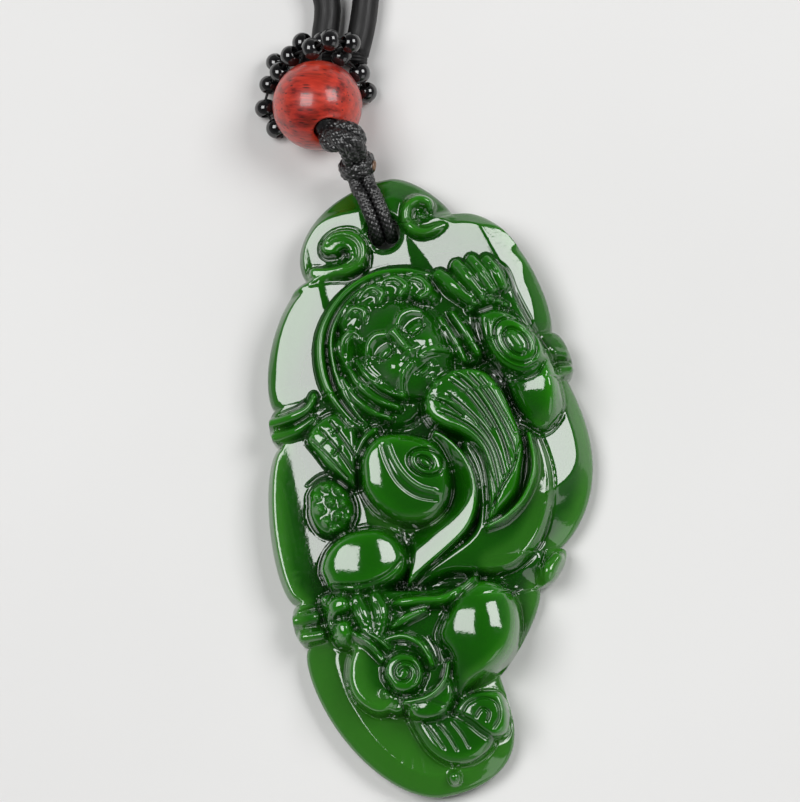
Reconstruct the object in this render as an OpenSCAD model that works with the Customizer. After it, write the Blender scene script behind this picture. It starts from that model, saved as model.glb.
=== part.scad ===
// Carved jade pendant that lies on its back, with its cord, knots, wooden bead and seed beads.
// +Y points from the pendant's foot to its head, +Z away from the surface that it lies on.
// The origin is under the middle of the stone.

/* [Jade pendant] */
// Height of the stone, from its foot to its head
pendant_h = 61; // [50:0.5:75]
// Width of the stone
pendant_w = 32.8; // [28:0.2:42]
// Thickness of the stone where its carving is highest
pendant_t = 9.6; // [8:0.2:13]
// Thickness of the stone at its edge
edge_t = 1.8; // [1.2:0.1:2.4]
// Thickness of the border band at its crest
band_t = 4.7; // [4:0.1:5.5]
// How far the back of the head is cut away, so that the cord lies behind it
head_relief = 1.7; // [1.5:0.1:2]
// Diameter of the cord hole
hole_d = 3.6; // [3:0.1:4.2]

/* [Thin cord and knots] */
// Diameter of the braided cord that carries the pendant
thin_d = 1.25; // [1:0.05:1.35]
// Diameter of the lower knot
lower_knot_d = 3.3; // [2.8:0.1:3.6]
// Length of the lower knot
lower_knot_l = 2.3; // [1.6:0.1:2.6]
// Diameter of the upper knot
upper_knot_d = 2.7; // [2.2:0.1:2.9]
// Diameter of the burnt cord end
melted_d = 1.1; // [0.8:0.1:1.3]
// Length of the burnt cord end
melted_l = 1; // [0.8:0.1:1.4]

/* [Wooden bead] */
// Diameter of the wooden bead
bead_d = 8.9; // [8:0.1:9.2]
// Diameter of its bore
bead_bore_d = 2.7; // [2.4:0.1:3.2]
// How far its bore rises towards the pendant, in degrees
bead_tilt = 38; // [34:1:42]
// How far its bore turns to the right of the pendant's line, in degrees
bead_turn = 8; // [4:1:14]

/* [Seed beads] */
// Diameter of a seed bead
seed_d = 2.1; // [1.8:0.05:2.15]
// Diameter of its bore
seed_bore_d = 1; // [0.9:0.05:1.1]
// Diameter of the thread through the seed beads
thread_d = 0.3; // [0.2:0.05:0.35]

/* [Neck cord] */
// Diameter of the neck cord
neck_d = 2.7; // [2:0.1:2.8]
// Length of the binding where the cords and threads meet
binding_l = 2.6; // [2:0.1:2.8]

/* [Hidden] */
$fn = 64;

// The stone is drawn on a block this wide, high and deep, and its tables count in these units, which
// are stretched to the stone's own width, height and thickness. The middle of the drawing is at mid.
block = [32.8, 60, 9.6];
mid = [0.15, 0.35];
unit = [pendant_w / block.x, pendant_h / block.y, pendant_t / block.z];
top_v = mid.y + block.y / 2;
foot_v = mid.y - block.y / 2;

// Outline of each side as lobes between notches. Columns: upper v, upper u, lower v, lower u,
// bulge, roundness (lower is fuller) and skew (under 1 puts the bulge higher)
RIGHT_LOBES = [
    [30.35, 2.5, 25.3, 8.1, 1.45, 0.8, 0.6],
    [25.3, 8.1, 12.0, 15.0, 3.3, 0.75, 0.58],
    [12.0, 15.0, 7.4, 15.6, 1.15, 0.4, 1],
    [7.4, 15.6, -8.6, 11.2, 3.1, 0.75, 1.35],
    [-8.6, 11.2, -12.0, 8.5, 1.5, 0.35, 1.2],
    [-12.0, 8.5, -19.4, 2.9, 0.95, 0.8, 0.9],
    [-19.4, 2.9, -29.65, -4.5, 4.9, 0.42, 2.4]];
LEFT_LOBES = [
    [30.35, 2.5, 21.9, -7.2, 4.85, 0.85, 0.62],
    [21.9, -7.2, 10.3, -13.0, 2.3, 0.65, 0.8],
    [10.3, -13.0, 6.8, -13.3, 0.95, 0.5, 1],
    [6.8, -13.3, -8.6, -14.9, 2.0, 0.5, 1],
    [-8.6, -14.9, -12.9, -14.7, 1.0, 0.5, 1],
    [-12.9, -14.7, -29.65, -4.5, 4.3, 0.44, 1.6]];

// Raised forms of the carving. Each row is a stroke over the stone: a list of u, v, half width and
// height at its points, then the height of its foot.
HEAD_SCROLLS = [
    [[[-6.9, 22.7, 0.7, 4.9], [-5, 22.5, 0.8, 5.2], [-3, 22.6, 0.85, 5.3], [-1.6, 23.4, 0.8, 5.3],
      [-1.3, 24.8, 0.8, 5.3], [-2.3, 25.9, 0.8, 5.3], [-3.8, 25.8, 0.75, 5.2], [-4.8, 24.9, 0.7, 5]], 3],
    [[[7.6, 25.4, 0.5, 4.6], [6.2, 24.9, 0.7, 5], [4.7, 24.8, 0.75, 5.2], [3.8, 25.7, 0.75, 5.3],
      [3.8, 27.1, 0.75, 5.3], [4.8, 27.9, 0.7, 5.2], [5.8, 27.5, 0.6, 5.1], [5.6, 26.7, 0.5, 4.9]], 3]];
HOOD = [
    [[[5, 20.3, 0.6, 5.6], [2.5, 21.4, 0.7, 5.9], [-0.3, 21.7, 0.75, 6], [-3, 21, 0.8, 6.1],
      [-5.3, 19.3, 0.8, 6.2], [-7, 16.8, 0.8, 6.2], [-7.7, 13.8, 0.8, 6.2], [-7.5, 11, 0.8, 6.1],
      [-6.5, 8.6, 0.7, 5.9], [-5, 7, 0.6, 5.6]], 3.4],
    [[[0.2, 16.2, 5.9, 6.5], [0.2, 13.2, 5.9, 6.5]], 3.4],
    [[[3, 13, 5, 6.6], [5.4, 12.6, 3.2, 6.4]], 3.4]];
// The figure's head: brow, cheeks, nose, moustache and curls on a plain oval face
FACE = [
    [[[-0.4, 16.4, 3.9, 7.9], [1.4, 13.4, 3.7, 7.9]], 4],
    [[[-3.1, 15.5, 0.7, 8], [-1, 17.1, 0.8, 8.5], [0.7, 16.6, 0.7, 8.5], [2.3, 17.2, 0.7, 8.1]], 6],
    [[[-0.2, 16.6, 0.6, 8.6], [0.9, 14.4, 0.9, 9.3]], 6],
    [[[1, 13.4, 0.6, 8.8], [2.8, 13.2, 0.7, 8.6], [4.4, 13.6, 0.6, 8]], 6],
    [[[0.8, 13.2, 0.6, 8.8], [-0.4, 12, 0.7, 8.6], [-1.2, 10.6, 0.6, 8]], 6],
    [[[-1, 19.4, 1.2, 7.6]], 5],
    [[[1.2, 19.8, 1.2, 7.6]], 5],
    [[[-3, 18, 1.2, 7.6]], 5],
    [[[-4.5, 16.1, 1.2, 7.4]], 5],
    [[[3.4, 19.2, 1.1, 7.4]], 5]];
RIGHT_ARM = [
    [[[5.8, 20.1, 0.9, 7], [7, 18.9, 1.1, 7.8], [7.9, 17.6, 0.9, 7.2]], 4],
    [[[7.6, 20.8, 0.75, 7.2], [8.4, 19.4, 0.85, 8], [9.3, 17.7, 0.7, 7.4]], 4],
    [[[8.8, 21, 0.7, 7.2], [9.6, 19.6, 0.85, 8], [10.3, 17.9, 0.7, 7.4]], 4],
    [[[10.2, 20.8, 0.7, 6.8], [10.9, 19.5, 0.8, 7.4], [11.4, 18, 0.65, 6.8]], 4],
    [[[7.9, 16.2, 0.8, 6.6], [9.4, 16.6, 0.9, 7.1], [11.2, 16, 0.7, 6.6]], 4],
    [[[9.8, 14.4, 1.7, 7.4], [11, 12.6, 2.7, 8], [12, 11, 2.2, 7.8]], 3.4],
    [[[10.5, 13.2, 0.9, 8.6], [11.8, 11.7, 1.1, 8.7]], 6],
    [[[12, 9, 2.5, 6.8], [12.2, 6.8, 2.6, 7.4], [12.2, 5.2, 1.9, 7]], 3.4]];
BEARD = [
    [[[3.6, 8.6, 2.3, 8], [5.8, 7.3, 3.2, 8.8], [7.2, 4.3, 2.9, 9], [7.6, 1.3, 2.2, 8.8],
      [6.6, -1.6, 1.3, 8.3], [5.3, -3.7, 0.6, 7.6]], 5]];
LEFT_ARM = [
    [[[-2.9, 1.5, 3.6, 8.6], [-1.2, 1.3, 3.6, 8.8]], 4],
    [[[-0.7, 3.4, 1.4, 9.4], [0.4, 2.2, 1.6, 9.5]], 6],
    [[[-6, 4, 0.5, 6.6], [-5, 5.6, 0.6, 6.8], [-3.6, 6.3, 0.6, 6.6]], 4],
    [[[-6, 8.2, 1.2, 6.4], [-7.8, 6.6, 1.6, 6.9], [-7.6, 4.2, 1.3, 6.7], [-7, 2, 0.6, 6.2]], 3.4],
    [[[-9.6, 7.2, 1.1, 6], [-8.9, 4.6, 0.9, 6.2], [-7.6, 2.4, 0.5, 5.8]], 3.4],
    [[[-10.4, 1.6, 1.3, 6], [-9.8, 0, 2, 6.6], [-9.6, -1.6, 1.5, 6.2]], 3.4]];
ROBE = [
    [[[10.9, 2.2, 1.3, 6.2], [10.3, -1, 2, 6.9], [8, -4.5, 2.9, 7.4], [4.4, -6.2, 2.8, 7.4],
      [0.8, -7.2, 2, 7], [-2.2, -8.2, 1.2, 6.4], [-4.3, -9, 0.6, 5.8]], 3.4],
    [[[2.4, 4.6, 0.7, 7.4], [3.9, 2.2, 0.9, 7.9], [4.4, -0.6, 1, 8], [3.7, -3.2, 1.1, 8],
      [1.4, -5.3, 1.1, 7.8], [-1.6, -6.7, 1, 7.4], [-3.8, -8, 0.7, 6.8]], 4],
    [[[10.9, 3, 0.5, 7.2], [10.5, 0, 0.6, 7.6], [9, -2.6, 0.6, 7.8], [6.8, -4.3, 0.5, 7.7]], 5],
    [[[-8.4, -5.3, 3.2, 8.3], [-6.8, -5.1, 3.2, 8.5]], 4]];
CREATURE = [
    [[[3.2, -11.6, 2.6, 7.6], [2.4, -13.8, 3.4, 8.4], [0.4, -16.4, 2.8, 7.8], [-1.4, -19.2, 1.8, 6.6],
      [-2.6, -21.8, 1, 5.8]], 3.2],
    [[[2.8, -9.2, 0.8, 6.8], [0.6, -10.5, 0.9, 7.2], [-1.4, -12.2, 0.9, 7.2], [-2.3, -14.4, 0.8, 7]], 4],
    [[[-9.4, -10.6, 2.6, 5.6], [-5.6, -11.6, 2.2, 6]], 3.2],
    [[[-11.6, -9, 0.9, 6.2], [-10.6, -8.9, 1.1, 6.7]], 3.2],
    [[[-10.7, -11.8, 1.3, 6.4]], 3.2],
    [[[-9, -9.6, 0.8, 6.8], [-8.8, -11, 0.7, 6.8]], 4],
    [[[-7.3, -9.9, 0.6, 6.8], [-7.7, -11.8, 0.6, 6.8]], 4],
    [[[-6.3, -12.2, 0.5, 6.8], [-4.8, -11.6, 0.9, 7.2], [-2.9, -11.3, 0.6, 7]], 4],
    [[[-9.8, -15.2, 1.6, 6], [-9.3, -17.2, 2.4, 6.6], [-8.7, -18.6, 1.7, 6]], 3],
    [[[-6.1, -16.9, 2.1, 7.2]], 3],
    [[[-7.6, -13.6, 0.7, 6.6], [-5.4, -13.8, 0.7, 6.9], [-4, -15.2, 0.7, 6.9], [-3.6, -17.2, 0.6, 6.4]], 4],
    [[[-1.8, -17, 0.6, 6.6], [-2.6, -18.9, 0.8, 6.6], [-4.4, -20.1, 0.9, 6.2], [-6, -20.4, 0.9, 5.9]], 3.2],
    [[[-4.6, -22.4, 1.7, 5.4], [-3.3, -24.3, 2.4, 5.8], [-1.8, -24.9, 1.8, 5.4]], 2.8],
    [[[-0.2, -21.2, 1.2, 5.4], [1.4, -22, 1.4, 5.6], [1.4, -23.6, 1.2, 5.2]], 2.8],
    [[[-3.6, -27.8, 0.8, 3.8]], 2.6]];
BORDER_KNOTS = [
    [[[-13.6, 9.3, 0.6, 4.4], [-11.6, 9.5, 0.8, 5.2], [-9.8, 10, 0.7, 5.4], [-9, 11.3, 0.6, 5.4]], 3],
    [[[-13.5, 8, 0.6, 4.2], [-11.4, 8.2, 0.7, 4.9], [-9.6, 8.9, 0.6, 5.2]], 3],
    [[[15.1, 10, 0.7, 4.4], [15.9, 9.8, 0.5, 3.7]], 2.6],
    [[[15.2, 8.5, 0.7, 4.2], [16, 8.4, 0.5, 3.6]], 2.6],
    [[[-15.2, -10, 0.6, 3.6], [-13.4, -10, 0.8, 4.3]], 2.4],
    [[[-14.8, -11.6, 0.6, 3.6], [-13.2, -11.7, 0.7, 4.1]], 2.4],
    [[[10.6, -9.3, 0.6, 3.8], [9.5, -10.3, 0.9, 4.3], [9.3, -11.3, 0.6, 3.8]], 2.6]];
// Forms stand out towards the head by this share of their height, as the carving leans
LEAN = 0.17;
LEAN_FROM = 2;

// Points of the stone's grid: across, along its straight part and in each rounded end
ACROSS = 49;
ALONG = 80;
IN_END = 6;
end_l = 1.3;
first_inset = 0.03;
// Heights in the block's units that the border, its valley and the flat fan at the foot keep
crest = band_t / unit.z;
valley = 3.5;
fan = 3.1;
edge = edge_t / unit.z;
head_back = head_relief / unit.z;
head_from = 21.2;
head_plate = 4.3;

function clamp(x) = min(max(x, 0), 1);
function ease(a, b, x) = let (t = clamp((x - a) / (b - a))) t * t * (3 - 2 * t);
function mix(a, b, t) = a + (b - a) * t;
function last(rows) = rows[len(rows) - 1];

// Side of the outline at height v, from its lobes. way is 1 on the right and -1 on the left.
function lobe_u(row, v, way) = let (t = clamp((row[0] - v) / (row[0] - row[2])), s = pow(t, row[6]))
    mix(row[1], row[3], t) + way * row[4] * pow(max(4 * s * (1 - s), 0), row[5]);
function side_u(lobes, v, way) =
    let (hit = [for (row = lobes) if (v <= row[0] && v >= row[2]) row]) lobe_u(hit[0], v, way);

straight_l = block.y - 2 * end_l;
function inset(i) = first_inset + (end_l - first_inset) * pow(i / IN_END, 2);
ROW_V = [for (i = [0:IN_END - 1]) top_v - inset(i),
         for (i = [0:ALONG]) top_v - end_l - straight_l * i / ALONG,
         for (i = [IN_END - 1:-1:0]) foot_v + inset(i)];
SIDES = [for (v = ROW_V) [side_u(LEFT_LOBES, v, -1), side_u(RIGHT_LOBES, v, 1)]];
RIM = [for (i = [0:len(ROW_V) - 1]) for (s = [0, 1]) [SIDES[i][s], ROW_V[i]]];

// A stroke's points, joined by a smooth curve
function curve_at(rows, i, t) = let (
    a = rows[max(i - 1, 0)], b = rows[i], c = rows[i + 1], d = rows[min(i + 2, len(rows) - 1)])
    b + 0.5 * t * (c - a + t * (2 * a - 5 * b + 4 * c - d + t * (3 * (b - c) + d - a)));
function smooth(rows, steps) = len(rows) < 2 ? rows :
    [for (i = [0:len(rows) - 2]) for (k = [0:steps - 1]) curve_at(rows, i, k / steps), last(rows)];
function leaning(rows) = [for (r = rows) [r[0], r[1] - LEAN * (r[3] - LEAN_FROM), r[2], r[3]]];
function prepared(stroke) = let (rows = smooth(leaning(stroke[0]), 3)) [rows, stroke[1],
    [min([for (r = rows) r[0] - r[2]]), max([for (r = rows) r[0] + r[2]]),
     min([for (r = rows) r[1] - r[2]]), max([for (r = rows) r[1] + r[2]])]];
FORMS = [for (group = [HEAD_SCROLLS, HOOD, FACE, RIGHT_ARM, BEARD, LEFT_ARM, ROBE, CREATURE, BORDER_KNOTS])
    for (stroke = group) prepared(stroke)];

// Height of one stroke at a point: a round back over its foot, or 0 beside it
function over(p, a, b, foot) = let (ab = [b.x - a.x, b.y - a.y], l = ab * ab,
    t = l > 0 ? clamp(([p.x - a.x, p.y - a.y] * ab) / l) : 0,
    r = norm([p.x - mix(a.x, b.x, t), p.y - mix(a.y, b.y, t)]) / mix(a[2], b[2], t))
    r < 1 ? mix(foot, mix(a[3], b[3], t), sqrt(1 - r * r)) : 0;
function form_z(p, form) = let (box = form[2], rows = form[0])
    p.x < box[0] || p.x > box[1] || p.y < box[2] || p.y > box[3] ? 0 :
    max([for (i = [0:max(len(rows) - 2, 0)]) over(p, rows[i], rows[min(i + 1, len(rows) - 1)], form[1])]);

// The stone under the forms: edge, border band, valley, the plate of the head and the fan at the foot
function fan_share(p) = 1 - ease(-17, -12, p.y + 0.25 * p.x);
function head_share(p) = ease(head_from - 1, head_from + 1.2, p.y - 0.05 * p.x);
function edge_at(v) = max(edge, back_at(v) + 1.1);
function back_at(v) = head_back * ease(head_from - 0.9, head_from, v);
function crest_at(p) = mix(mix(crest, fan, fan_share(p)), head_plate, head_share(p));
function fall_at(p) = (crest - valley) * (1 - fan_share(p)) * (1 - head_share(p));
function base_z(p, d) = let (rise = 1 - clamp(d / 1.9))
    mix(edge_at(p.y), crest_at(p), sqrt(1 - rise * rise)) - fall_at(p) * ease(2.4, 4.6, d);
function body_z(p) = let (r = norm([(p.x + 0.6) / 11.5, (p.y - 0.5) / 20])) r < 1 ? 5.2 * pow(1 - pow(r, 4), 0.6) : 0;
function rim_distance(p) = min([for (q = RIM) if (abs(q.y - p.y) < 6) norm(q - p)]);
function front_z(p) = let (d = rim_distance(p))
    max(base_z(p, d), d > 1 ? body_z(p) : 0, max([for (f = FORMS) form_z(p, f)]));

function placed(u, v, z) = [u - mid.x, v - mid.y, z];

// Tube: one ring of points for each point of its path, turned with the path
function step_of(path, i) = path[min(i + 1, len(path) - 1)] - path[max(i - 1, 0)];
function unit_of(v) = v / norm(v);
function turned(side, way) = unit_of(side - way * (side * way));
function sides_of(path, i = 0, side = [0.21, 0.34, 0.91]) = i == len(path) ? [] :
    let (way = unit_of(step_of(path, i)), s = turned(side, way)) concat([s], sides_of(path, i + 1, s));
function ring(at, way, side, r, n) = let (up = cross(way, side))
    [for (k = [0:n - 1]) at + r * (cos(360 * k / n) * side + sin(360 * k / n) * up)];
// path rows are x, y, z and the tube's radius there
module tube(rows, n = 8) {
    path = [for (p = rows) [p[0], p[1], p[2]]];
    first = sides_of(path);
    points = [for (i = [0:len(path) - 1])
        each ring(path[i], unit_of(step_of(path, i)), first[i], rows[i][3], n)];
    skin = [for (i = [0:len(path) - 2]) for (k = [0:n - 1]) let (m = (k + 1) % n, a = i * n, b = a + n)
        each [[a + k, b + k, b + m], [a + k, b + m, a + m]]];
    ends = [[for (k = [0:n - 1]) k], [for (k = [n - 1:-1:0]) (len(path) - 1) * n + k]];
    polyhedron(points, concat(skin, ends), convexity = 10);
}
function with_radius(path, r) = [for (p = path) [p[0], p[1], p[2], r]];
module toward(at, way) {
    translate(at) rotate([0, acos(way.z / norm(way)), atan2(way.y, way.x)]) children();
}

clear = 0.1;
// Place of the wooden bead: it rests on the surface, and way_in leads out of its nearer bore mouth
bead_r = bead_d / 2;
// Radius of the bead that the lines below are drawn round, and how much this one is larger
drawn_bead_r = 4.45;
grown = bead_r - drawn_bead_r;
bore_r = bead_bore_d / 2;
bead_at = [-2.8, 39, bead_r];
way_in = [sin(bead_turn) * cos(bead_tilt), -cos(bead_turn) * cos(bead_tilt), sin(bead_tilt)];
// Where the cords are bound: a line along the surface, away from the wooden bead, from its nearer end
gather_turn = 77;
gather = [cos(gather_turn), sin(gather_turn), 0];
gather_side = [sin(gather_turn), -cos(gather_turn), 0];
binding_at = [0.66, 43.15 + grown, neck_d / 2 + 0.05];

// Middle line of the doubled cord, from the lower knot over the head, through the hole and back behind
LOOP_LINE = [[-0.1, 29.9, 4.7], [0, 29.5, 4.9], [0.2, 29, 5.1], [0.4, 28, 5.2],
    [0.6, 27, 5.2], [0.75, 26.2, 4.9], [0.85, 25.5, 4.2], [0.9, 25.2, 3.4], [0.9, 25.2, 2.6], [0.85, 25.5, 1.8],
    [0.75, 26.2, 1.1], [0.6, 27, 0.8], [0.4, 28, 0.8], [0.2, 29, 0.8], [0.1, 29.8, 0.8], [0, 30.5, 0.9],
    [-0.05, 31, 1.3], [-0.1, 31.3, 1.9], [-0.1, 31.4, 2.5]];
hole_at = 7;
// Neck cord, laid as one plain loop from the binding and back to it
NECK_LINE = [[2.6, 45.6, 1.4], [3.3, 48.6, 1.4], [4.6, 54, 1.4], [7.5, 64, 1.4], [13, 79, 1.4], [22, 98, 1.4],
    [33, 119, 1.4], [45, 141, 1.4], [56, 164, 1.4], [64, 189, 1.4], [68, 215, 1.4], [66, 241, 1.4],
    [57, 265, 1.4], [42, 284, 1.4], [21, 297, 1.4], [-3, 301, 1.4], [-26, 296, 1.4], [-46, 283, 1.4],
    [-60, 263, 1.4], [-67, 239, 1.4], [-67, 214, 1.4], [-62, 189, 1.4], [-53, 165, 1.4], [-42, 142, 1.4],
    [-31, 120, 1.4], [-21, 99, 1.4], [-13, 81, 1.4], [-6, 66, 1.4], [-2, 56, 1.4], [-0.2, 50, 1.4],
    [0, 46.4, 1.4]];
// Strings of seed beads, with a bead at each point: the first lies round the far side of the wooden bead,
// and the second over it. They move out as the wooden bead grows.
DRAWN_SEEDS = [
    [[-7.25, 38.4, 1.15], [-7.95, 40.6, 1.15], [-7.05, 42.85, 1.15], [-5.95, 44.9, 1.15], [-2.95, 45.85, 3.15],
     [-1.05, 45.2, 4.15], [0.55, 43.5, 3.95], [1.95, 41.7, 2.7], [2.25, 40, 1.2]],
    [[-5.75, 43.45, 2.9], [-4.35, 44.5, 4.3], [-2.15, 44.4, 5.9], [-0.2, 44.6, 6.9], [1.7, 44.15, 5.75]]];
function moved_out(p) = let (from = [bead_at.x, bead_at.y, drawn_bead_r], way = (p - from) / norm(p - from),
    q = p + grown * (way + [0, 0, 1])) [q.x, q.y, max(q.z, seed_d / 2 + clear)];
SEED_LINES = [for (line = DRAWN_SEEDS) [for (p = line) moved_out(p)]];

module jade_pendant() {
    n = len(ROW_V);
    front = [for (i = [0:n - 1]) for (k = [0:ACROSS]) let (t = k / ACROSS,
        u = mix(SIDES[i][0], SIDES[i][1], t), v = ROW_V[i], at_rim = k == 0 || k == ACROSS || i == 0 || i == n - 1)
        placed(u, v, at_rim ? edge_at(v) : front_z([u, v]))];
    back = [for (i = [0:n - 1]) for (s = [0, 1]) placed(SIDES[i][s], ROW_V[i], back_at(ROW_V[i]))];
    w = ACROSS + 1;
    under = n * w;
    face = [for (i = [0:n - 2]) for (k = [0:ACROSS - 1]) let (a = i * w + k, b = a + w)
        each (i + k) % 2 == 0 ? [[a, a + 1, b + 1], [a, b + 1, b]] : [[a, a + 1, b], [a + 1, b + 1, b]]];
    walls = [for (i = [0:n - 2]) let (a = i * w, b = a + w, c = under + 2 * i, d = c + 2)
        each [[a, b, d], [a, d, c], [a + ACROSS, c + 1, d + 1], [a + ACROSS, d + 1, b + ACROSS]]];
    flat = [for (i = [0:n - 2]) let (c = under + 2 * i) each [[c, c + 2, c + 3], [c, c + 3, c + 1]]];
    head_end = [concat([for (k = [ACROSS:-1:0]) k], [under, under + 1])];
    foot_end = [concat([for (k = [0:ACROSS]) (n - 1) * w + k], [under + 2 * n - 1, under + 2 * n - 2])];
    color("#0f5c14") resize([pendant_w, pendant_h, pendant_t]) difference() {
        polyhedron(concat(front, back), concat(face, walls, flat, head_end, foot_end), convexity = 10);
        translate([LOOP_LINE[hole_at].x / unit.x, (LOOP_LINE[hole_at].y - 0.25) / unit.y, -1])
            scale([1 / unit.x, 1 / unit.y, 1]) cylinder(d = hole_d, h = block.z + 2, $fn = 32);
    }
}

module loop_strand(side) {
    shift = [side * (thin_d / 2 + 0.04), 0, 0];
    color("#141414") tube(with_radius([for (p = LOOP_LINE) p + shift], thin_d / 2));
}

// The lower knot rises from the edge of the stone, on a line of its own
knot_from = [-0.2, 31.15, 3.5];
knot_way = unit_of([-0.1, 0.81, 0.575]);
knot_up = turned([0, 0, 1], knot_way);
knot_to = knot_from + knot_way * lower_knot_l;
module lower_knot() {
    r = lower_knot_d / 2;
    wrap = lower_knot_l * 0.27;
    color("#181818") toward(knot_from, knot_way) rotate_extrude() union() {
        square([r - wrap, lower_knot_l]);
        for (at = [wrap, lower_knot_l - wrap]) translate([r - wrap, at]) circle(r = wrap);
    }
}

// The upper knot: one lumpy roll of cord, from the lower knot over to the mouth of the wooden bead's bore
lump_r = upper_knot_d / 2;
mouth_lump_r = lump_r * 0.93;
rim_out = sqrt(pow(bead_r, 2) - pow(bore_r, 2));
mouth_out = rim_out + sqrt(max(pow(mouth_lump_r + 2 * clear, 2) - pow(bore_r, 2), 0)) + clear / 2;
first_lump = knot_to + knot_way * (lump_r + clear) + knot_up * 0.8;
mouth_lump = bead_at + way_in * mouth_out;
middle_lump = (first_lump + mouth_lump) / 2 + [0.2, 0, 0.8];
LUMPS = [concat(first_lump, lump_r), concat(middle_lump, lump_r * 0.96), concat(mouth_lump, mouth_lump_r)];
waist = 0.12;
ROLL = [for (i = [0:1]) for (k = [0:5]) let (row = curve_at(LUMPS, i, k / 6), thin = 1 - waist * pow(sin(30 * k), 2))
    [row[0], row[1], row[2], row[3] * thin], LUMPS[2]];
// Rings of a dome over the end of the roll, way points out of it
function dome(row, way, angles) = [for (a = angles)
    [for (j = [0:3]) j == 3 ? row[3] * sin(a) : row[j] + way[j] * row[3] * cos(a)]];
function centre(row) = [row[0], row[1], row[2]];
module upper_knot() {
    n = len(ROLL);
    color("#181818") tube(concat(
        dome(ROLL[0], unit_of(centre(ROLL[0]) - centre(ROLL[1])), [20, 45, 70]), ROLL,
        dome(ROLL[n - 1], unit_of(centre(ROLL[n - 1]) - centre(ROLL[n - 2])), [70, 45, 20])), 16);
}

// The burnt end of the cord stands out of the side of the lower knot
module melted_end() {
    way = turned([0.86, -0.25, 0.45], knot_way);
    tip = melted_d / 2;
    color("#6b4a2c") toward((knot_from + knot_to) / 2 + way * (lower_knot_d / 2 + clear / 2), way) union() {
        cylinder(r = tip, h = melted_l - tip);
        translate([0, 0, melted_l - tip]) sphere(r = tip);
    }
}

module wood_bead() {
    color("#8a2a1c") translate(bead_at) difference() {
        sphere(r = bead_r, $fn = 96);
        toward([0, 0, 0], way_in) cylinder(d = bead_bore_d, h = bead_d + 2, center = true);
    }
}

// The thin cord through the bore, then round to the side of the binding
module bead_cord() {
    thick = bore_r - 2 * clear;
    thin = thin_d * 0.7;
    near = mouth_out - mouth_lump_r - clear;
    far = [for (out = [bead_r * 0.8, bead_r + 0.35]) bead_at - way_in * out];
    bound = [binding_at.x, binding_at.y, thin + 0.25] + gather * binding_l / 2 - gather_side * (neck_d + clear);
    color("#141414") tube(concat(
        with_radius([bead_at + way_in * near, bead_at + way_in * near / 2, bead_at, far[0]], thick),
        with_radius([far[1], [far[1].x - 0.1, far[1].y + 0.8, bound.z], bound - gather_side * 1.1 - gather * 0.2,
            bound - gather_side * 0.5, bound], thin)), 10);
}

// A piece at point i of a string, turned along the string
module on_string(line, i) {
    toward(line[i], step_of(line, i)) children();
}

module seed_beads() {
    color("#0b0b0c") for (line = SEED_LINES) for (i = [0:len(line) - 1]) on_string(line, i)
        difference() {
            sphere(d = seed_d, $fn = 32);
            cylinder(d = seed_bore_d, h = seed_d + 1, center = true, $fn = 24);
        }
}

// Each thread runs a little out of its first and last bead
module seed_threads() {
    past = seed_d / 2 + clear;
    color("#0b0b0c") for (line = SEED_LINES) {
        n = len(line);
        first = line[0] - unit_of(step_of(line, 0)) * past;
        tail = last(line) + unit_of(step_of(line, n - 1)) * past;
        tube(with_radius(concat([first], smooth(line, 4), [tail]), thread_d / 2), 6);
    }
}

module cord_binding() {
    r = neck_d / 2;
    color("#101010") translate(binding_at) rotate([0, 0, gather_turn]) rotate([0, 90, 0]) union() {
        for (s = [-1, 1]) translate([0, s * r, 0]) cylinder(r = r, h = binding_l);
        translate([-r, -r, 0]) cube([2 * r, 2 * r, binding_l]);
    }
}

module neck_cord() {
    fine = smooth([for (p = NECK_LINE) p + [0, grown, 0]], 2);
    color("#161616") tube(with_radius(fine, neck_d / 2));
}

jade_pendant();
loop_strand(-1);  // loop_cord_left
loop_strand(1);  // loop_cord_right
lower_knot();
upper_knot();
melted_end();
bead_cord();
wood_bead();
seed_beads();
seed_threads();
cord_binding();
neck_cord();
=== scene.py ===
import math

import bmesh
import bpy
import numpy as np
from mathutils import Matrix, Vector, kdtree


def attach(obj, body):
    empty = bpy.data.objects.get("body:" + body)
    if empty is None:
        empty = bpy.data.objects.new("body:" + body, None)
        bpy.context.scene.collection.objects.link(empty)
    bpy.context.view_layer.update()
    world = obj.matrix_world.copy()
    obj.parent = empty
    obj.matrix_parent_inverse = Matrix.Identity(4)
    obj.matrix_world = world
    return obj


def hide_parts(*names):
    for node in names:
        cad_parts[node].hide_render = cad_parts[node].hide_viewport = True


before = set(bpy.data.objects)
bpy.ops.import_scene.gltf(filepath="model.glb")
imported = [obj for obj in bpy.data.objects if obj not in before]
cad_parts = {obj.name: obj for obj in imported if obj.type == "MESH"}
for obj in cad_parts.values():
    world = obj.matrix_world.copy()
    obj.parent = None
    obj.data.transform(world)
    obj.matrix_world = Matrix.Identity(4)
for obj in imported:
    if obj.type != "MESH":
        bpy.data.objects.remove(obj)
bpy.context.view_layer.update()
MM = 0.001
scene = bpy.context.scene
scene.view_settings.view_transform = "Standard"

# The camera: its angle above the stone's front, its roll, where it looks, and the width that it sees there
ELEVATION = math.radians(80)
ROLL = math.radians(12.3)
AIM = Vector((-1.05, 8.6, 2.0)) * MM
DISTANCE = 0.5
VIEW_WIDTH = 0.0788
SENSOR = 36.0

STONE_RIGHT = Vector((1, 0, 0))
STONE_UP = Vector((0, math.sin(ELEVATION), math.cos(ELEVATION)))
TO_CAMERA = Vector((0, -math.cos(ELEVATION), math.sin(ELEVATION)))
VIEW_UP = math.cos(ROLL) * STONE_UP + math.sin(ROLL) * STONE_RIGHT
VIEW_RIGHT = math.cos(ROLL) * STONE_RIGHT - math.sin(ROLL) * STONE_UP


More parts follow.
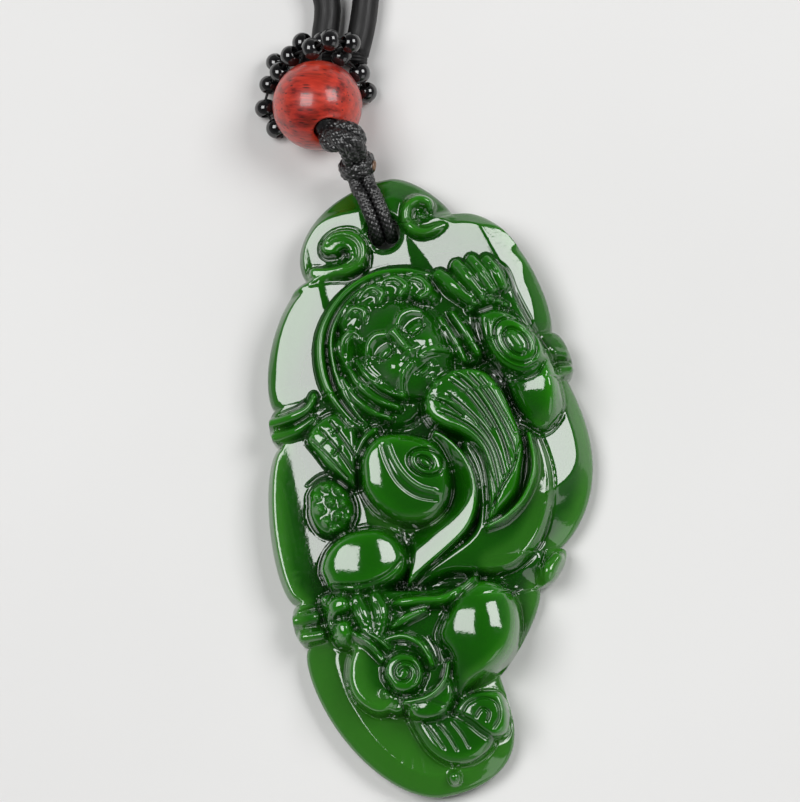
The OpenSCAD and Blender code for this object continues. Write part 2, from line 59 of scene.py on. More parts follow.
def facing(right, up, back, at):
    """Matrix of something that looks along -back from at"""
    turn = Matrix((right, up, back)).transposed().to_4x4()
    return Matrix.Translation(at) @ turn


def make_camera():
    data = bpy.data.cameras.new("camera")
    data.sensor_width = SENSOR
    data.sensor_fit = "HORIZONTAL"
    data.lens = SENSOR * DISTANCE / VIEW_WIDTH
    data.clip_start, data.clip_end = 0.01, 20
    camera = bpy.data.objects.new("camera", data)
    camera.matrix_world = facing(VIEW_RIGHT, VIEW_UP, TO_CAMERA, AIM + TO_CAMERA * DISTANCE)
    scene.collection.objects.link(camera)
    scene.camera = camera


make_camera()


def through(points, steps):
    """A smooth line through points, with steps parts between two of them"""
    rows = np.array(points, float)
    if len(rows) < 2:
        return rows
    before = np.vstack([rows[:1], rows[:-1]])[:-1]
    after = np.vstack([rows[1:], rows[-1:]])[1:]
    start, end = rows[:-1], rows[1:]
    parts = []
    for t in np.arange(steps) / steps:
        parts.append(start + 0.5 * t * (end - before + t * (2 * before - 5 * start + 4 * end - after
                     + t * (3 * (start - end) + after - before))))
    fine = np.stack(parts, 1).reshape(-1, rows.shape[1])
    return np.vstack([fine, rows[-1:]])


def evenly(path, step):
    """The path's rows again, step apart along it"""
    lengths = np.r_[0, np.cumsum(np.linalg.norm(np.diff(path[:, :3], axis=0), axis=1))]
    count = max(int(round(lengths[-1] / step)), 2)
    at = np.linspace(0, lengths[-1], count + 1)
    return np.stack([np.interp(at, lengths, column) for column in path.T], 1), at


# A way that no path starts along, from which its first side is taken
FIRST_SIDE = (0.21, 0.34, 0.91)


def side_vectors(path):
    """Two directions across the path at each of its points, turned with it"""
    way = np.gradient(path, axis=0)
    way /= np.linalg.norm(way, axis=1)[:, None]
    side = np.zeros_like(way)
    last = np.array(FIRST_SIDE)
    for i, w in enumerate(way):
        last = last - w * (last @ w)
        last /= np.linalg.norm(last)
        side[i] = last
    return side, np.cross(way, side)


def new_piece(name, mesh, material, node):
    """An object for a finished mesh, on the part's one body"""
    piece = bpy.data.objects.new(name, mesh)
    scene.collection.objects.link(piece)
    for polygon in mesh.polygons:
        polygon.use_smooth = True
    mesh.materials.append(material)
    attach(piece, "root")
    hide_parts(node)
    return piece


def as_mesh(bm, name):
    """A new mesh of a bmesh, which is freed"""
    mesh = bpy.data.meshes.new(name)
    bm.to_mesh(mesh)
    bm.free()
    return mesh


def grid_mesh(name, across, along):
    """A flat grid as a mesh, and each point's place on it from 0 to 1, across and along"""
    bm = bmesh.new()
    bmesh.ops.create_grid(bm, x_segments=across, y_segments=along, size=1)
    mesh = as_mesh(bm, name)
    return mesh, (points_of(mesh)[:, :2] + 1) / 2


def points_of(mesh):
    """The mesh's points as rows of x, y and z"""
    flat = np.zeros(len(mesh.vertices) * 3)
    mesh.vertices.foreach_get("co", flat)
    return flat.reshape(-1, 3)


def set_points(mesh, points):
    mesh.vertices.foreach_set("co", np.ascontiguousarray(points, float).ravel())
    mesh.update()


def set_values(mesh, name, values):
    """One number for each point of the mesh, for its material"""
    attribute = mesh.attributes.new(name, "FLOAT", "POINT")
    attribute.data.foreach_set("value", np.ascontiguousarray(values, np.float32))


def set_uv(mesh, place):
    corners = np.zeros(len(mesh.loops), int)
    mesh.loops.foreach_get("vertex_index", corners)
    layer = mesh.uv_layers.new(name="lay")
    layer.data.foreach_set("uv", place[corners].astype(np.float32).ravel())


def braid(around, along, strands, pitch):
    """Height from 0 to 1 of a braid's surface, at shares around it and millimetres along it"""
    roundness, dip = 0.97, 0.45
    right = strands * (around + along / pitch)
    left = strands * (around - along / pitch)
    on_top = (np.floor(right) + np.floor(left)) % 2 < 1
    across = np.where(on_top, right % 1, left % 1) * 2 - 1
    lengthwise = np.where(on_top, left % 1, right % 1) * 2 - 1
    return np.sqrt(1 - (roundness * across) ** 2) * (1 - dip * lengthwise ** 2)


# Map units for each millimetre along a cord, and how close points are when they are merged
LAY_PER_MM = 0.1
SAME_PLACE = 0.002 * MM


def tube_mesh(name, path, sides, step, relief=None, rounded=0.0):
    """A tube of rings along a path with columns x, y, z and radius in millimetres. relief(around, along) gives
    each point's depth, as a share of the radius, and its crown. rounded is the length of the round ends"""
    rows, along = evenly(np.array(path, float), step)
    side, up = side_vectors(rows[:, :3])
    mesh, place = grid_mesh(name, sides, len(rows) - 1)
    ring = np.rint(place[:, 1] * (len(rows) - 1)).astype(int)
    angle = place[:, 0] * 2 * math.pi
    radius = rows[ring, 3].copy()
    if rounded:
        from_end = np.minimum(along, along[-1] - along)[ring] / rounded
        radius *= np.sqrt(1 - (1 - np.clip(from_end, 0.02, 1)) ** 2)
    crown = np.ones(len(ring))
    if relief:
        depth, crown = relief(place[:, 0], along[ring])
        radius *= 1 - depth
    out = np.cos(angle)[:, None] * side[ring] + np.sin(angle)[:, None] * up[ring]
    set_uv(mesh, np.stack([place[:, 0], along[ring] * LAY_PER_MM], 1))
    set_points(mesh, (rows[ring, :3] + out * radius[:, None]) * MM)
    set_values(mesh, "crown", crown)
    bm = bmesh.new()
    bm.from_mesh(mesh)
    bmesh.ops.remove_doubles(bm, verts=bm.verts, dist=SAME_PLACE)
    open_edges = [edge for edge in bm.edges if edge.is_boundary]
    bmesh.ops.holes_fill(bm, edges=open_edges, sides=0)
    bmesh.ops.recalc_face_normals(bm, faces=bm.faces)
    bm.to_mesh(mesh)
    bm.free()
    return mesh


def braided(strands, pitch, depth):
    """Relief of a braid for tube_mesh"""
    def relief(around, along):
        height = braid(around, along, strands, pitch)
        return depth * (1 - height), height
    return relief


def join_meshes(name, meshes):
    """Several meshes as one new mesh, which takes their place"""
    bm = bmesh.new()
    for mesh in meshes:
        bm.from_mesh(mesh)
        bpy.data.meshes.remove(mesh)
    return as_mesh(bm, name)


def fill(node, values):
    """Sets a node's own settings and its inputs by their names, with _ for a space"""
    for name, value in values.items():
        if hasattr(node, name):
            setattr(node, name, value)
        else:
            node.inputs[name.replace("_", " ")].default_value = value


class Paint:
    """A material and the few calls that build its nodes"""

    def __init__(self, name, **values):
        self.material = bpy.data.materials.new(name)
        self.material.use_nodes = True
        self.nodes = self.material.node_tree.nodes
        self.shader = self.nodes["Principled BSDF"]
        fill(self.shader, values)

    def link(self, source, target):
        self.material.node_tree.links.new(source, target)

    def node(self, kind, **values):
        made = self.nodes.new(kind)
        fill(made, values)
        return made

    def reader(self, vector, kind, **values):
        """A node that reads a place"""
        made = self.node(kind, **values)
        self.link(vector, made.inputs["Vector"])
        return made

    def clouds(self, cloud_scale, speck_scale):
        """The cloudy group's two patterns"""
        made = self.node("ShaderNodeGroup")
        made.node_tree = CLOUDY
        fill(made, {"Cloud Scale": cloud_scale, "Speck Scale": speck_scale})
        return made.outputs["Clouds"], made.outputs["Specks"]

    def value(self, name):
        """The number that the mesh keeps for each point under this name"""
        return self.node("ShaderNodeAttribute", attribute_name=name).outputs["Fac"]

    def ramp(self, source, *stops):
        """Colours by a number: each stop is a place from 0 to 1 and a colour"""
        made = self.nodes.new("ShaderNodeValToRGB")
        while len(made.color_ramp.elements) < len(stops):
            made.color_ramp.elements.new(0.5)
        for element, (at, colour) in zip(made.color_ramp.elements, stops):
            element.position = at
            element.color = (*colour, 1)
        self.link(source, made.inputs["Fac"])
        return made.outputs["Color"]

    def spread(self, source, low, high, to_low, to_high):
        """A number from one range mapped to another"""
        made = self.node("ShaderNodeMapRange")
        for name, value in zip(("From Min", "From Max", "To Min", "To Max"), (low, high, to_low, to_high)):
            made.inputs[name].default_value = value
        self.link(source, made.inputs["Value"])
        return made.outputs["Result"]

    def mix(self, share, first, second):
        """Two colours mixed, each of them a colour or a socket"""
        made = self.node("ShaderNodeMix", data_type="RGBA")
        for source, name in ((share, "Factor"), (first, "A"), (second, "B")):
            if isinstance(source, tuple):
                made.inputs[name].default_value = (*source, 1)
            else:
                self.link(source, made.inputs[name])
        return made.outputs["Result"]

    def bump(self, height, strength, distance):
        made = self.node("ShaderNodeBump", Strength=strength, Distance=distance)
        self.link(height, made.inputs["Height"])
        self.link(made.outputs["Normal"], self.shader.inputs["Normal"])

    def finish(self, colour, roughness):
        self.link(colour, self.shader.inputs["Base Color"])
        self.link(roughness, self.shader.inputs["Roughness"])
        return self.material


def new_group(name, inputs, outputs):
    """A node group with number inputs, given with their usual values, and named outputs"""
    tree = bpy.data.node_groups.new(name, "ShaderNodeTree")
    for label, value in inputs.items():
        socket = tree.interface.new_socket(label, in_out="INPUT", socket_type="NodeSocketFloat")
        socket.default_value = value
    for label in outputs:
        tree.interface.new_socket(label, in_out="OUTPUT", socket_type="NodeSocketFloat")
    return tree, tree.nodes.new("NodeGroupInput"), tree.nodes.new("NodeGroupOutput")


def cloudy_group():
    """Soft clouds and fine specks inside a stone or a wood, from the piece's own coordinates"""
    scales = {"Cloud Scale": 200.0, "Speck Scale": 3000.0}
    tree, given, out = new_group("cloudy", scales, ["Clouds", "Specks"])
    place = tree.nodes.new("ShaderNodeTexCoord")
    for label, output, detail in (("Cloud Scale", "Clouds", 3.0), ("Speck Scale", "Specks", 2.0)):
        noise = tree.nodes.new("ShaderNodeTexNoise")
        noise.inputs["Detail"].default_value = detail
        tree.links.new(place.outputs["Object"], noise.inputs["Vector"])
        tree.links.new(given.outputs[label], noise.inputs["Scale"])
        tree.links.new(noise.outputs["Fac"], out.inputs[output])
    return tree


CLOUDY = cloudy_group()


def jade_paint():
    paint = Paint("polished_jade", IOR=1.62, Coat_Weight=0.45, Coat_Roughness=0.04, Coat_IOR=1.5,
                  Subsurface_Weight=0.12, Subsurface_Scale=0.0008, Subsurface_Radius=(0.35, 1.0, 0.3))
    clouds, specks = paint.clouds(160, 2600)
    # Painted shade and light: by each point's crown, the jade's colour darkens to near black in the hollows
    # and creases of the carving and brightens on its raised forms
    tone = paint.ramp(paint.value("crown"), (0.0, (0.0012, 0.02, 0.0006)), (0.38, (0.003, 0.05, 0.0007)),
                      (0.62, (0.0058, 0.086, 0.0009)), (1.0, (0.017, 0.195, 0.0016)))
    tone = paint.mix(paint.spread(clouds, 0.35, 0.7, 0.0, 0.3), tone, (0.009, 0.11, 0.002))
    # Painted light: paler green where light would come through the thin rim, the fan and the rounded edges of
    # the forms, and a little on the wall and back
    tone = paint.mix(paint.value("thin"), tone, (0.036, 0.185, 0.014))
    paint.bump(specks, 0.2, 0.00005)
    return paint.finish(tone, paint.spread(specks, 0.3, 0.75, 0.06, 0.12))


def braid_paint():
    paint = Paint("waxed_braid", IOR=1.5, Coat_Weight=0.6, Coat_Roughness=0.13)
    _, specks = paint.clouds(900, 9000)
    # Painted shade and light: by the braid's crown, the gaps between its yarns are painted darker and the
    # yarns' tops lighter
    tone = paint.ramp(paint.value("crown"), (0.0, (0.0005, 0.0005, 0.0005)), (0.6, (0.0025, 0.0025, 0.0028)),
                      (1.0, (0.012, 0.012, 0.013)))
    paint.bump(specks, 0.8, 0.00003)
    return paint.finish(tone, paint.spread(specks, 0.3, 0.7, 0.3, 0.5))


def satin_paint():
    paint = Paint("satin_cord", IOR=1.42, Coat_Weight=0.06, Coat_Roughness=0.25)
    lay = paint.node("ShaderNodeUVMap", uv_map="lay").outputs["UV"]
    stretched = paint.reader(lay, "ShaderNodeMapping", Scale=(60, 6, 1)).outputs["Vector"]
    streaks = paint.reader(stretched, "ShaderNodeTexNoise", Scale=1.0, Detail=4.0).outputs["Fac"]
    tone = paint.ramp(streaks, (0.3, (0.0015, 0.0015, 0.0016)), (0.7, (0.008, 0.0075, 0.008)))
    paint.bump(streaks, 0.35, 0.00006)
    return paint.finish(tone, paint.spread(streaks, 0.3, 0.7, 0.4, 0.62))


def wood_paint():
    paint = Paint("red_wood", IOR=1.45, Coat_Weight=0.5, Coat_Roughness=0.13)
    place = paint.node("ShaderNodeTexCoord").outputs["Object"]
    turned = paint.reader(place, "ShaderNodeMapping", Location=tuple(-c * MM for c in BEAD_AT),
                          Rotation=(0.25, 0.1, 0.35)).outputs["Vector"]
    grain_at = paint.reader(turned, "ShaderNodeMapping", Scale=(170, 1500, 1500)).outputs["Vector"]
    grain = paint.reader(grain_at, "ShaderNodeTexNoise", Scale=1.0, Detail=5.0, Roughness=0.65).outputs["Fac"]
    pores_at = paint.reader(turned, "ShaderNodeMapping", Scale=(520, 2400, 2400)).outputs["Vector"]
    pores = paint.reader(pores_at, "ShaderNodeTexVoronoi", Scale=1.0).outputs["Distance"]
    clouds, _ = paint.clouds(260, 1500)
    tone = paint.ramp(grain, (0.36, (0.06, 0.004, 0.003)), (0.48, (0.29, 0.013, 0.008)),
                      (0.64, (0.55, 0.032, 0.014)))
    tone = paint.mix(paint.spread(clouds, 0.35, 0.65, 0.0, 0.55), tone, (0.64, 0.05, 0.018))
    tone = paint.mix(paint.spread(pores, 0.12, 0.28, 0.85, 0.0), tone, (0.03, 0.003, 0.002))
    paint.bump(grain, 0.25, 0.00005)
    return paint.finish(tone, paint.spread(grain, 0.3, 0.7, 0.3, 0.45))


def glass_seed_paint():
    paint = Paint("black_seed_glass", IOR=1.6, Coat_Weight=0.5, Coat_Roughness=0.03)
    clouds, specks = paint.clouds(500, 4000)
    tone = paint.ramp(clouds, (0.35, (0.003, 0.003, 0.0035)), (0.7, (0.012, 0.012, 0.013)))
    return paint.finish(tone, paint.spread(specks, 0.3, 0.7, 0.06, 0.14))


def burnt_paint():
    paint = Paint("burnt_end", IOR=1.5, Coat_Weight=0.4, Coat_Roughness=0.2)
    clouds, specks = paint.clouds(1200, 5000)
    brown = paint.ramp(clouds, (0.35, (0.09, 0.04, 0.018)), (0.65, (0.24, 0.13, 0.065)))
    tone = paint.mix(paint.value("crown"), (0.006, 0.005, 0.005), brown)
    paint.bump(clouds, 0.4, 0.00008)
    return paint.finish(tone, paint.spread(specks, 0.3, 0.7, 0.25, 0.45))


def floor_paint():
    paint = Paint("pale_table", IOR=1.4, Specular_IOR_Level=0.2)
    clouds, specks = paint.clouds(12, 900)
    tone = paint.ramp(clouds, (0.3, (0.72, 0.717, 0.71)), (0.7, (0.76, 0.757, 0.75)))
    return paint.finish(tone, paint.spread(specks, 0.3, 0.7, 0.6, 0.75))


# Cords and beads, in millimetres: the thin braided cord, the neck cord, and the wooden bead with its bore
THIN_D = 1.25
NECK_D = 2.7
BEAD_AT = (-2.8, 39.0, 4.45)
BEAD_R = 4.45
BORE_R = 1.35
BEAD_TILT = math.radians(38)
BEAD_TURN = math.radians(8)
WAY_IN = Vector((math.sin(BEAD_TURN) * math.cos(BEAD_TILT), -math.cos(BEAD_TURN) * math.cos(BEAD_TILT),
                 math.sin(BEAD_TILT)))

# Middle lines of the doubled cord through the stone's hole, the neck cord, and the two strings of seed beads
LOOP_LINE = [(-0.1, 29.9, 4.7), (0, 29.5, 4.9), (0.2, 29, 5.1), (0.4, 28, 5.2), (0.6, 27, 5.2),
             (0.75, 26.1, 4.9), (0.87, 25.2, 4.3), (0.92, 24.75, 3.4), (0.92, 24.7, 2.6),
             (0.87, 25.1, 1.7), (0.75, 26.0, 1.0), (0.6, 27, 0.8), (0.4, 28, 0.8), (0.2, 29, 0.8),
             (0.1, 29.8, 0.8), (0, 30.5, 0.9), (-0.05, 31, 1.3), (-0.1, 31.3, 1.9), (-0.1, 31.4, 2.5)]
NECK_LINE = [(1.75, 43.5), (2.3, 44.7), (3.0, 46.1), (3.85, 48.3), (4.6, 50.8), (5.4, 54), (7.8, 64),
             (13, 79), (22, 98), (33, 119), (45, 141), (56, 164), (64, 189), (68, 215), (66, 241),
             (57, 265), (42, 284), (21, 297), (-3, 301), (-26, 296), (-46, 283), (-60, 263), (-67, 239),
             (-67, 214), (-62, 189), (-53, 165), (-42, 142), (-31, 120), (-21, 99), (-13, 81), (-6, 66),
             (-1.6, 56), (0.0, 52), (0.3, 50), (0.1, 48.6), (-0.5, 46.8), (-0.9, 45.5)]
NECK_Z = 1.4
SEED_LINES = [
    [(-7.25, 38.4, 1.15), (-7.95, 40.6, 1.15), (-7.05, 42.85, 1.15), (-5.95, 44.9, 1.15),
     (-2.95, 45.85, 3.15), (-1.05, 45.2, 4.15), (0.55, 43.5, 3.95), (1.95, 41.7, 2.7), (2.25, 40, 1.2)],
    [(-5.75, 43.45, 2.9), (-4.35, 44.5, 4.3), (-2.15, 44.4, 5.9), (-0.2, 44.6, 6.9), (1.7, 44.15, 5.75)]]

# The way of the lower knot, the radius of the cord in both knots, and a fine braid's points: how many round
# it, and how far apart along it
KNOT_WAY = (-0.1, 0.81, 0.575)
KNOT_CORD_R = 0.68
BRAID_SIDES, BRAID_STEP = 54, 0.075

BRAID = braid_paint()
SATIN = satin_paint()


def with_radius(points, radius):
    """A path of one radius, for tube_mesh"""
    return np.hstack([np.array(points, float), np.full((len(points), 1), radius)])


def make_loop_cords():
    """Two braided strands side by side: over the stone's head, down its hole and back behind it"""
    into_knot = [(-0.25, 31.2, 4.6), (-0.15, 30.5, 4.6)]
    out_of_knot = [(-0.15, 31.9, 3.1)]
    for name, way in (("left", -1), ("right", 1)):
        line = through(into_knot + LOOP_LINE + out_of_knot, 6)
        line[:, 0] += way * (THIN_D / 2 + 0.02)
        mesh = tube_mesh(f"loop_cord_{name}_braid", with_radius(line, THIN_D / 2 + 0.04), BRAID_SIDES,
                         BRAID_STEP, braided(6, 3.2, 0.26), rounded=0.3)
        new_piece(f"braid_{name}", mesh, BRAID, f"loop_cord_{name}")


def make_lower_knot():
    """Two turns of the braided cord round the strands that they hold"""
    start = np.array([-0.1, 31.15, 3.5])
    way = np.array(KNOT_WAY)
    way /= np.linalg.norm(way)
    side = np.cross(way, [0.0, 0.0, 1.0])
    side /= np.linalg.norm(side)
    up = np.cross(side, way)
    length, outer, strand = 2.5, 1.92, KNOT_CORD_R
    turns, first = 2.25, 0.55
    share = np.linspace(0, 1, 60)
    angle = 2 * math.pi * (turns * share + first)
    radius = (outer - strand) * np.minimum(1, 0.45 + 5 * np.minimum(share, 1 - share))
    along = strand * 0.9 + (length - 1.8 * strand) * share
    lean = 0.22 * np.cos(angle)
    coil = (start + (along + lean)[:, None] * way + radius[:, None] * (np.cos(angle)[:, None] * side
            + np.sin(angle)[:, None] * up))
    wraps = tube_mesh("wraps", with_radius(coil, strand), BRAID_SIDES, BRAID_STEP, braided(6, 3.6, 0.24),
                      rounded=0.4)
    core = tube_mesh("core", with_radius([start + way * t for t in (0.05, 0.8, 1.6, 2.45)], 0.95), 48, 0.09,
                     braided(9, 4.5, 0.1), rounded=0.3)
    new_piece("lower_knot_wraps", join_meshes("lower_knot_wraps", [wraps, core]), BRAID, "lower_knot")


# Strands of the upper knot, each from the mouth of the bead's bore to the lower knot
UPPER_STRANDS = [
    [(-2.55, 36.6, 6.1), (-1.25, 35.9, 7.3), (0.15, 35.1, 7.6), (0.6, 34.15, 7.2), (0.05, 33.25, 6.6),
     (-0.35, 32.4, 5.5)],
    [(-2.75, 35.9, 6.3), (-1.75, 35.1, 7.7), (-0.45, 34.2, 8.1), (0.35, 33.4, 7.4), (0.35, 32.5, 6.1)],
    [(-2.7, 36.3, 6.0), (-2.75, 34.8, 6.6), (-2.35, 34.1, 7.0), (-1.35, 33.85, 7.2), (-0.95, 33.0, 6.4),
     (-0.95, 32.3, 5.3)],
    [(-2.5, 35.3, 6.9), (-1.6, 34.3, 7.9), (-0.6, 33.4, 7.7), (-0.2, 32.5, 6.6)],
    [(-2.3, 36.0, 5.6), (-1.0, 35.0, 6.2), (-0.6, 34.0, 6.2), (-0.3, 32.6, 5.2)]]


def make_upper_knot():
    """Braided strands that cross from the lower knot to the mouth of the bore"""
    meshes = [tube_mesh("strand", with_radius(through(line, 8), KNOT_CORD_R), BRAID_SIDES, BRAID_STEP,
                        braided(6, 3.6, 0.24), rounded=0.4) for line in UPPER_STRANDS]
    new_piece("upper_knot_strands", join_meshes("upper_knot_strands", meshes), BRAID, "upper_knot")


def make_bead_cord():
    """The cord through the wooden bead's bore, then round to the binding"""
    bead, way = np.array(BEAD_AT), np.array(WAY_IN)
    line = [bead + way * 4.0, bead + way * 2, bead, bead - way * BEAD_R * 0.8, bead - way * (BEAD_R + 0.3),
            (-3.4, 43.9, 1.15), (-3.0, 44.8, 1.12), (-2.4, 45.0, 1.12), (-1.85, 45.05, 1.12)]
    radius = [1.15, 1.15, 1.15, 1.12, 0.88, 0.86, 0.86, 0.86, 0.86]
    rows = through(np.hstack([np.array(line, float), np.array(radius)[:, None]]), 6)
    mesh = tube_mesh("bore_cord", rows, BRAID_SIDES, 0.09, braided(9, 4.6, 0.12), rounded=0.3)
    new_piece("bore_cord", mesh, BRAID, "bead_cord")


def make_neck_cord():
    """The satin neck cord as one loop, with both ends in the binding"""
    ribs, rib_turn, rib_depth, swell_depth = 14, 2.4, 0.012, 0.02

    def relief(around, along):
        fine = 0.5 + 0.5 * np.sin(2 * math.pi * (ribs * around + along / rib_turn))
        wide = 0.5 + 0.5 * np.sin(along * 0.37 + 1.3 * np.sin(along * 0.11) + 2 * math.pi * around)
        return rib_depth * (1 - fine) + swell_depth * (1 - wide), fine

    line = [(*p, NECK_Z) for p in NECK_LINE]
    mesh = tube_mesh("neck_loop", with_radius(through(line, 12), NECK_D / 2), 56, 0.55, relief, rounded=0.25)
    new_piece("neck_loop", mesh, SATIN, "neck_cord")


def make_binding():
    """Thread wound over the place where the cord, the threads and both ends of the neck cord meet"""
    turn = math.radians(77)
    way = np.array([math.cos(turn), math.sin(turn), 0])
    side = np.array([math.sin(turn), -math.cos(turn), 0])
    at = np.array([0.66, 43.15, NECK_D / 2 + 0.05])
    half, round_r, thread, length, turns = 0.95, NECK_D / 2 - 0.24, 0.25, 2.6, 6
    angle = np.linspace(0, 2 * math.pi * turns, turns * 48)
    across = np.cos(angle) * round_r + half * np.tanh(4 * np.cos(angle))
    lift = np.sin(angle) * round_r
    along = thread + (length - 2 * thread) * np.linspace(0, 1, len(angle))
    coil = at + along[:, None] * way + across[:, None] * side + lift[:, None] * np.array([0, 0, 1])
    wound = tube_mesh("wound", with_radius(coil, thread), 10, 0.14)
    bundles = [tube_mesh("bundle", with_radius([at + side * half * s + way * t for t in (0.05, 1.3, 2.55)],
                                               NECK_D / 2 - 0.3), 20, 0.3) for s in (-1, 1)]
    new_piece("binding_thread", join_meshes("binding_thread", [wound, *bundles]), SATIN, "cord_binding")


def make_seed_threads():
    """A plied thread through each string of seed beads, with its ends standing out"""
    plies, ply_turn, depth, thread_r = 3, 0.9, 0.2, 0.15

    def relief(around, along):
        ply = 0.5 + 0.5 * np.sin(2 * math.pi * (plies * around + along / ply_turn))
        return depth * (1 - ply), ply

    meshes = []
    for line in SEED_LINES:
        rows = np.array(line)
        start = rows[0] - (rows[1] - rows[0]) * 0.5
        end = rows[-1] + (rows[-1] - rows[-2]) * 0.5
        start[2], end[2] = max(start[2], 0.4), max(end[2], 0.4)
        path = with_radius(through([start, *rows, end], 8), thread_r)
        meshes.append(tube_mesh("thread", path, 12, 0.1, relief))
    new_piece("bead_threads", join_meshes("bead_threads", meshes), SATIN, "seed_threads")


# How close points are when they are merged at the seam of a spun shape
SEAM = 1e-7


def spun(profile, steps):
    """A closed ring of a profile's points (distance from the axis and height), spun round the z axis"""
    bm = bmesh.new()
    verts = [bm.verts.new((r, 0, z)) for r, z in profile]
    edges = [bm.edges.new((a, b)) for a, b in zip(verts, verts[1:] + verts[:1])]
    bmesh.ops.spin(bm, geom=verts + edges, cent=(0, 0, 0), axis=(0, 0, 1), angle=2 * math.pi, steps=steps,
                   use_merge=True)
    bmesh.ops.remove_doubles(bm, verts=bm.verts, dist=SEAM)
    bmesh.ops.recalc_face_normals(bm, faces=bm.faces)
    return bm


def bead_profile(outer, bore, flat, lip, count):
    """Half section of a drilled bead with rounded mouths, in metres. flat is its height over its width"""
    rim = math.asin((bore + lip) / outer)
    rows = [(outer * math.cos(a), outer * flat * math.sin(a))
            for a in np.linspace(-math.pi / 2 + rim, math.pi / 2 - rim, count)]
    top = rows[-1]
    curl = [(bore + lip * (1 - math.sin(a)), top[1] - lip * (1 - math.cos(a)) * 0.9)
            for a in np.linspace(0.3, math.pi / 2, 5)]
    return rows + curl + [(r, -z) for r, z in reversed(curl)]


def toward(at, way):
    """Matrix that puts the z axis of a turned shape at a place, along a way"""
    return Matrix.Translation(Vector(at) * MM) @ Vector(way).to_track_quat("Z", "Y").to_matrix().to_4x4()


def make_seed_beads():
    """Glass beads that differ a little in size and height, along their strings"""
    bore, lip = 0.5, 0.14
    meshes = []
    rng = np.random.default_rng(5)
    for line in SEED_LINES:
        rows = [Vector(p) for p in line]
        for i, at in enumerate(rows):
            way = rows[min(i + 1, len(rows) - 1)] - rows[max(i - 1, 0)]
            radius = 1.05 + 0.05 * rng.random()
            flat = 0.9 + 0.08 * rng.random()
            seed = spun(bead_profile(radius * MM, bore * MM, flat, lip * MM, 17), 36)
            bmesh.ops.transform(seed, matrix=toward(at, way), verts=seed.verts)
            meshes.append(as_mesh(seed, "one"))
    new_piece("seed_string", join_meshes("seed_string", meshes), glass_seed_paint(), "seed_beads")


def make_wood_bead():
    """The turned wooden bead, whose bore opens toward the upper knot"""
    bm = spun(bead_profile(BEAD_R * MM, BORE_R * MM, 1.0, 0.22 * MM, 61), 120)
    bmesh.ops.transform(bm, matrix=toward(BEAD_AT, WAY_IN), verts=bm.verts)
    new_piece("turned_bead", as_mesh(bm, "turned_bead"), wood_paint(), "wood_bead")


def make_burnt_end():
    """The burnt cord end: a short lump with a brown face in a black rim"""
    lower_way = Vector(KNOT_WAY).normalized()
    out = Vector((0.86, -0.25, 0.45))
    out = (out - lower_way * out.dot(lower_way)).normalized()
    at = Vector((-0.2, 31.15, 3.5)) + lower_way * 1.15 + out * 1.3
    long, wide, high = 0.78, 0.42, 0.55
    bm = bmesh.new()
    bmesh.ops.create_uvsphere(bm, u_segments=40, v_segments=24, radius=1)
    for vert in bm.verts:
        x, y, z = vert.co
        lump = 1 + 0.06 * math.sin(3.1 * x + 2.2 * y) + 0.05 * math.sin(4.3 * y - 2.7 * z)
        vert.co = (x * long * lump, y * wide * lump, z * high * lump)
    crown = [min(max((v.co.z / high - 0.62) * 5, 0), 1) * (1 if abs(v.co.x) < 0.6 else 0.3) for v in bm.verts]
    bmesh.ops.scale(bm, vec=(MM, MM, MM), verts=bm.verts)
    bmesh.ops.transform(bm, matrix=toward(at + out * 0.35, out), verts=bm.verts)
    mesh = as_mesh(bm, "burnt_end")
    set_values(mesh, "crown", crown)
    new_piece("burnt_end", mesh, burnt_paint(), "melted_end")


make_loop_cords()
make_lower_knot()
make_upper_knot()
make_bead_cord()
make_neck_cord()
make_binding()
make_seed_threads()
make_seed_beads()
make_wood_bead()
make_burnt_end()


# The carving is drawn in millimetres, u to the right and v to the head, on a drawing 60 mm high whose middle
# is MID, and STRETCH makes it as high as the stone
MID = np.array([0.15, 0.35])
STRETCH = 61 / 60
TOP_V, FOOT_V = 30.35, -29.65

# The forms are drawn where the leaning camera sees them: LEAN millimetres further to the head for each
# millimetre that they stand above LEAN_FROM
LEAN = 0.17
LEAN_FROM = 2

# The cut line round each mound, the height of the left cuff, and the drilled hole
CUT_WIDTH, CUT_DEPTH = 0.34, 0.3
CUFF_TOP = 8.35
HOLE = (0.9, 25.0)
HOLE_R = 1.62

# Lobes of the outline. Columns: upper v, upper u, lower v, lower u, bulge, roundness and skew
RIGHT_LOBES = [
    (30.35, 2.5, 25.3, 8.1, 1.45, 0.8, 0.6), (25.3, 8.1, 12.0, 15.0, 3.3, 0.75, 0.58),
    (12.0, 15.0, 7.4, 15.6, 1.15, 0.4, 1), (7.4, 15.6, -8.6, 11.2, 3.1, 0.75, 1.35),
    (-8.6, 11.2, -12.0, 8.5, 1.5, 0.35, 1.2), (-12.0, 8.5, -19.4, 2.9, 0.95, 0.8, 0.9),
    (-19.4, 2.9, -29.65, -4.5, 4.9, 0.42, 2.4)]
LEFT_LOBES = [
    (30.35, 2.5, 21.9, -7.2, 4.85, 0.85, 0.62), (21.9, -7.2, 10.3, -13.0, 2.3, 0.65, 0.8),
    (10.3, -13.0, 6.8, -13.3, 0.95, 0.5, 1), (6.8, -13.3, -8.6, -14.9, 2.0, 0.5, 1),
    (-8.6, -14.9, -12.9, -14.7, 1.0, 0.5, 1), (-12.9, -14.7, -29.65, -4.5, 4.3, 0.44, 1.6)]

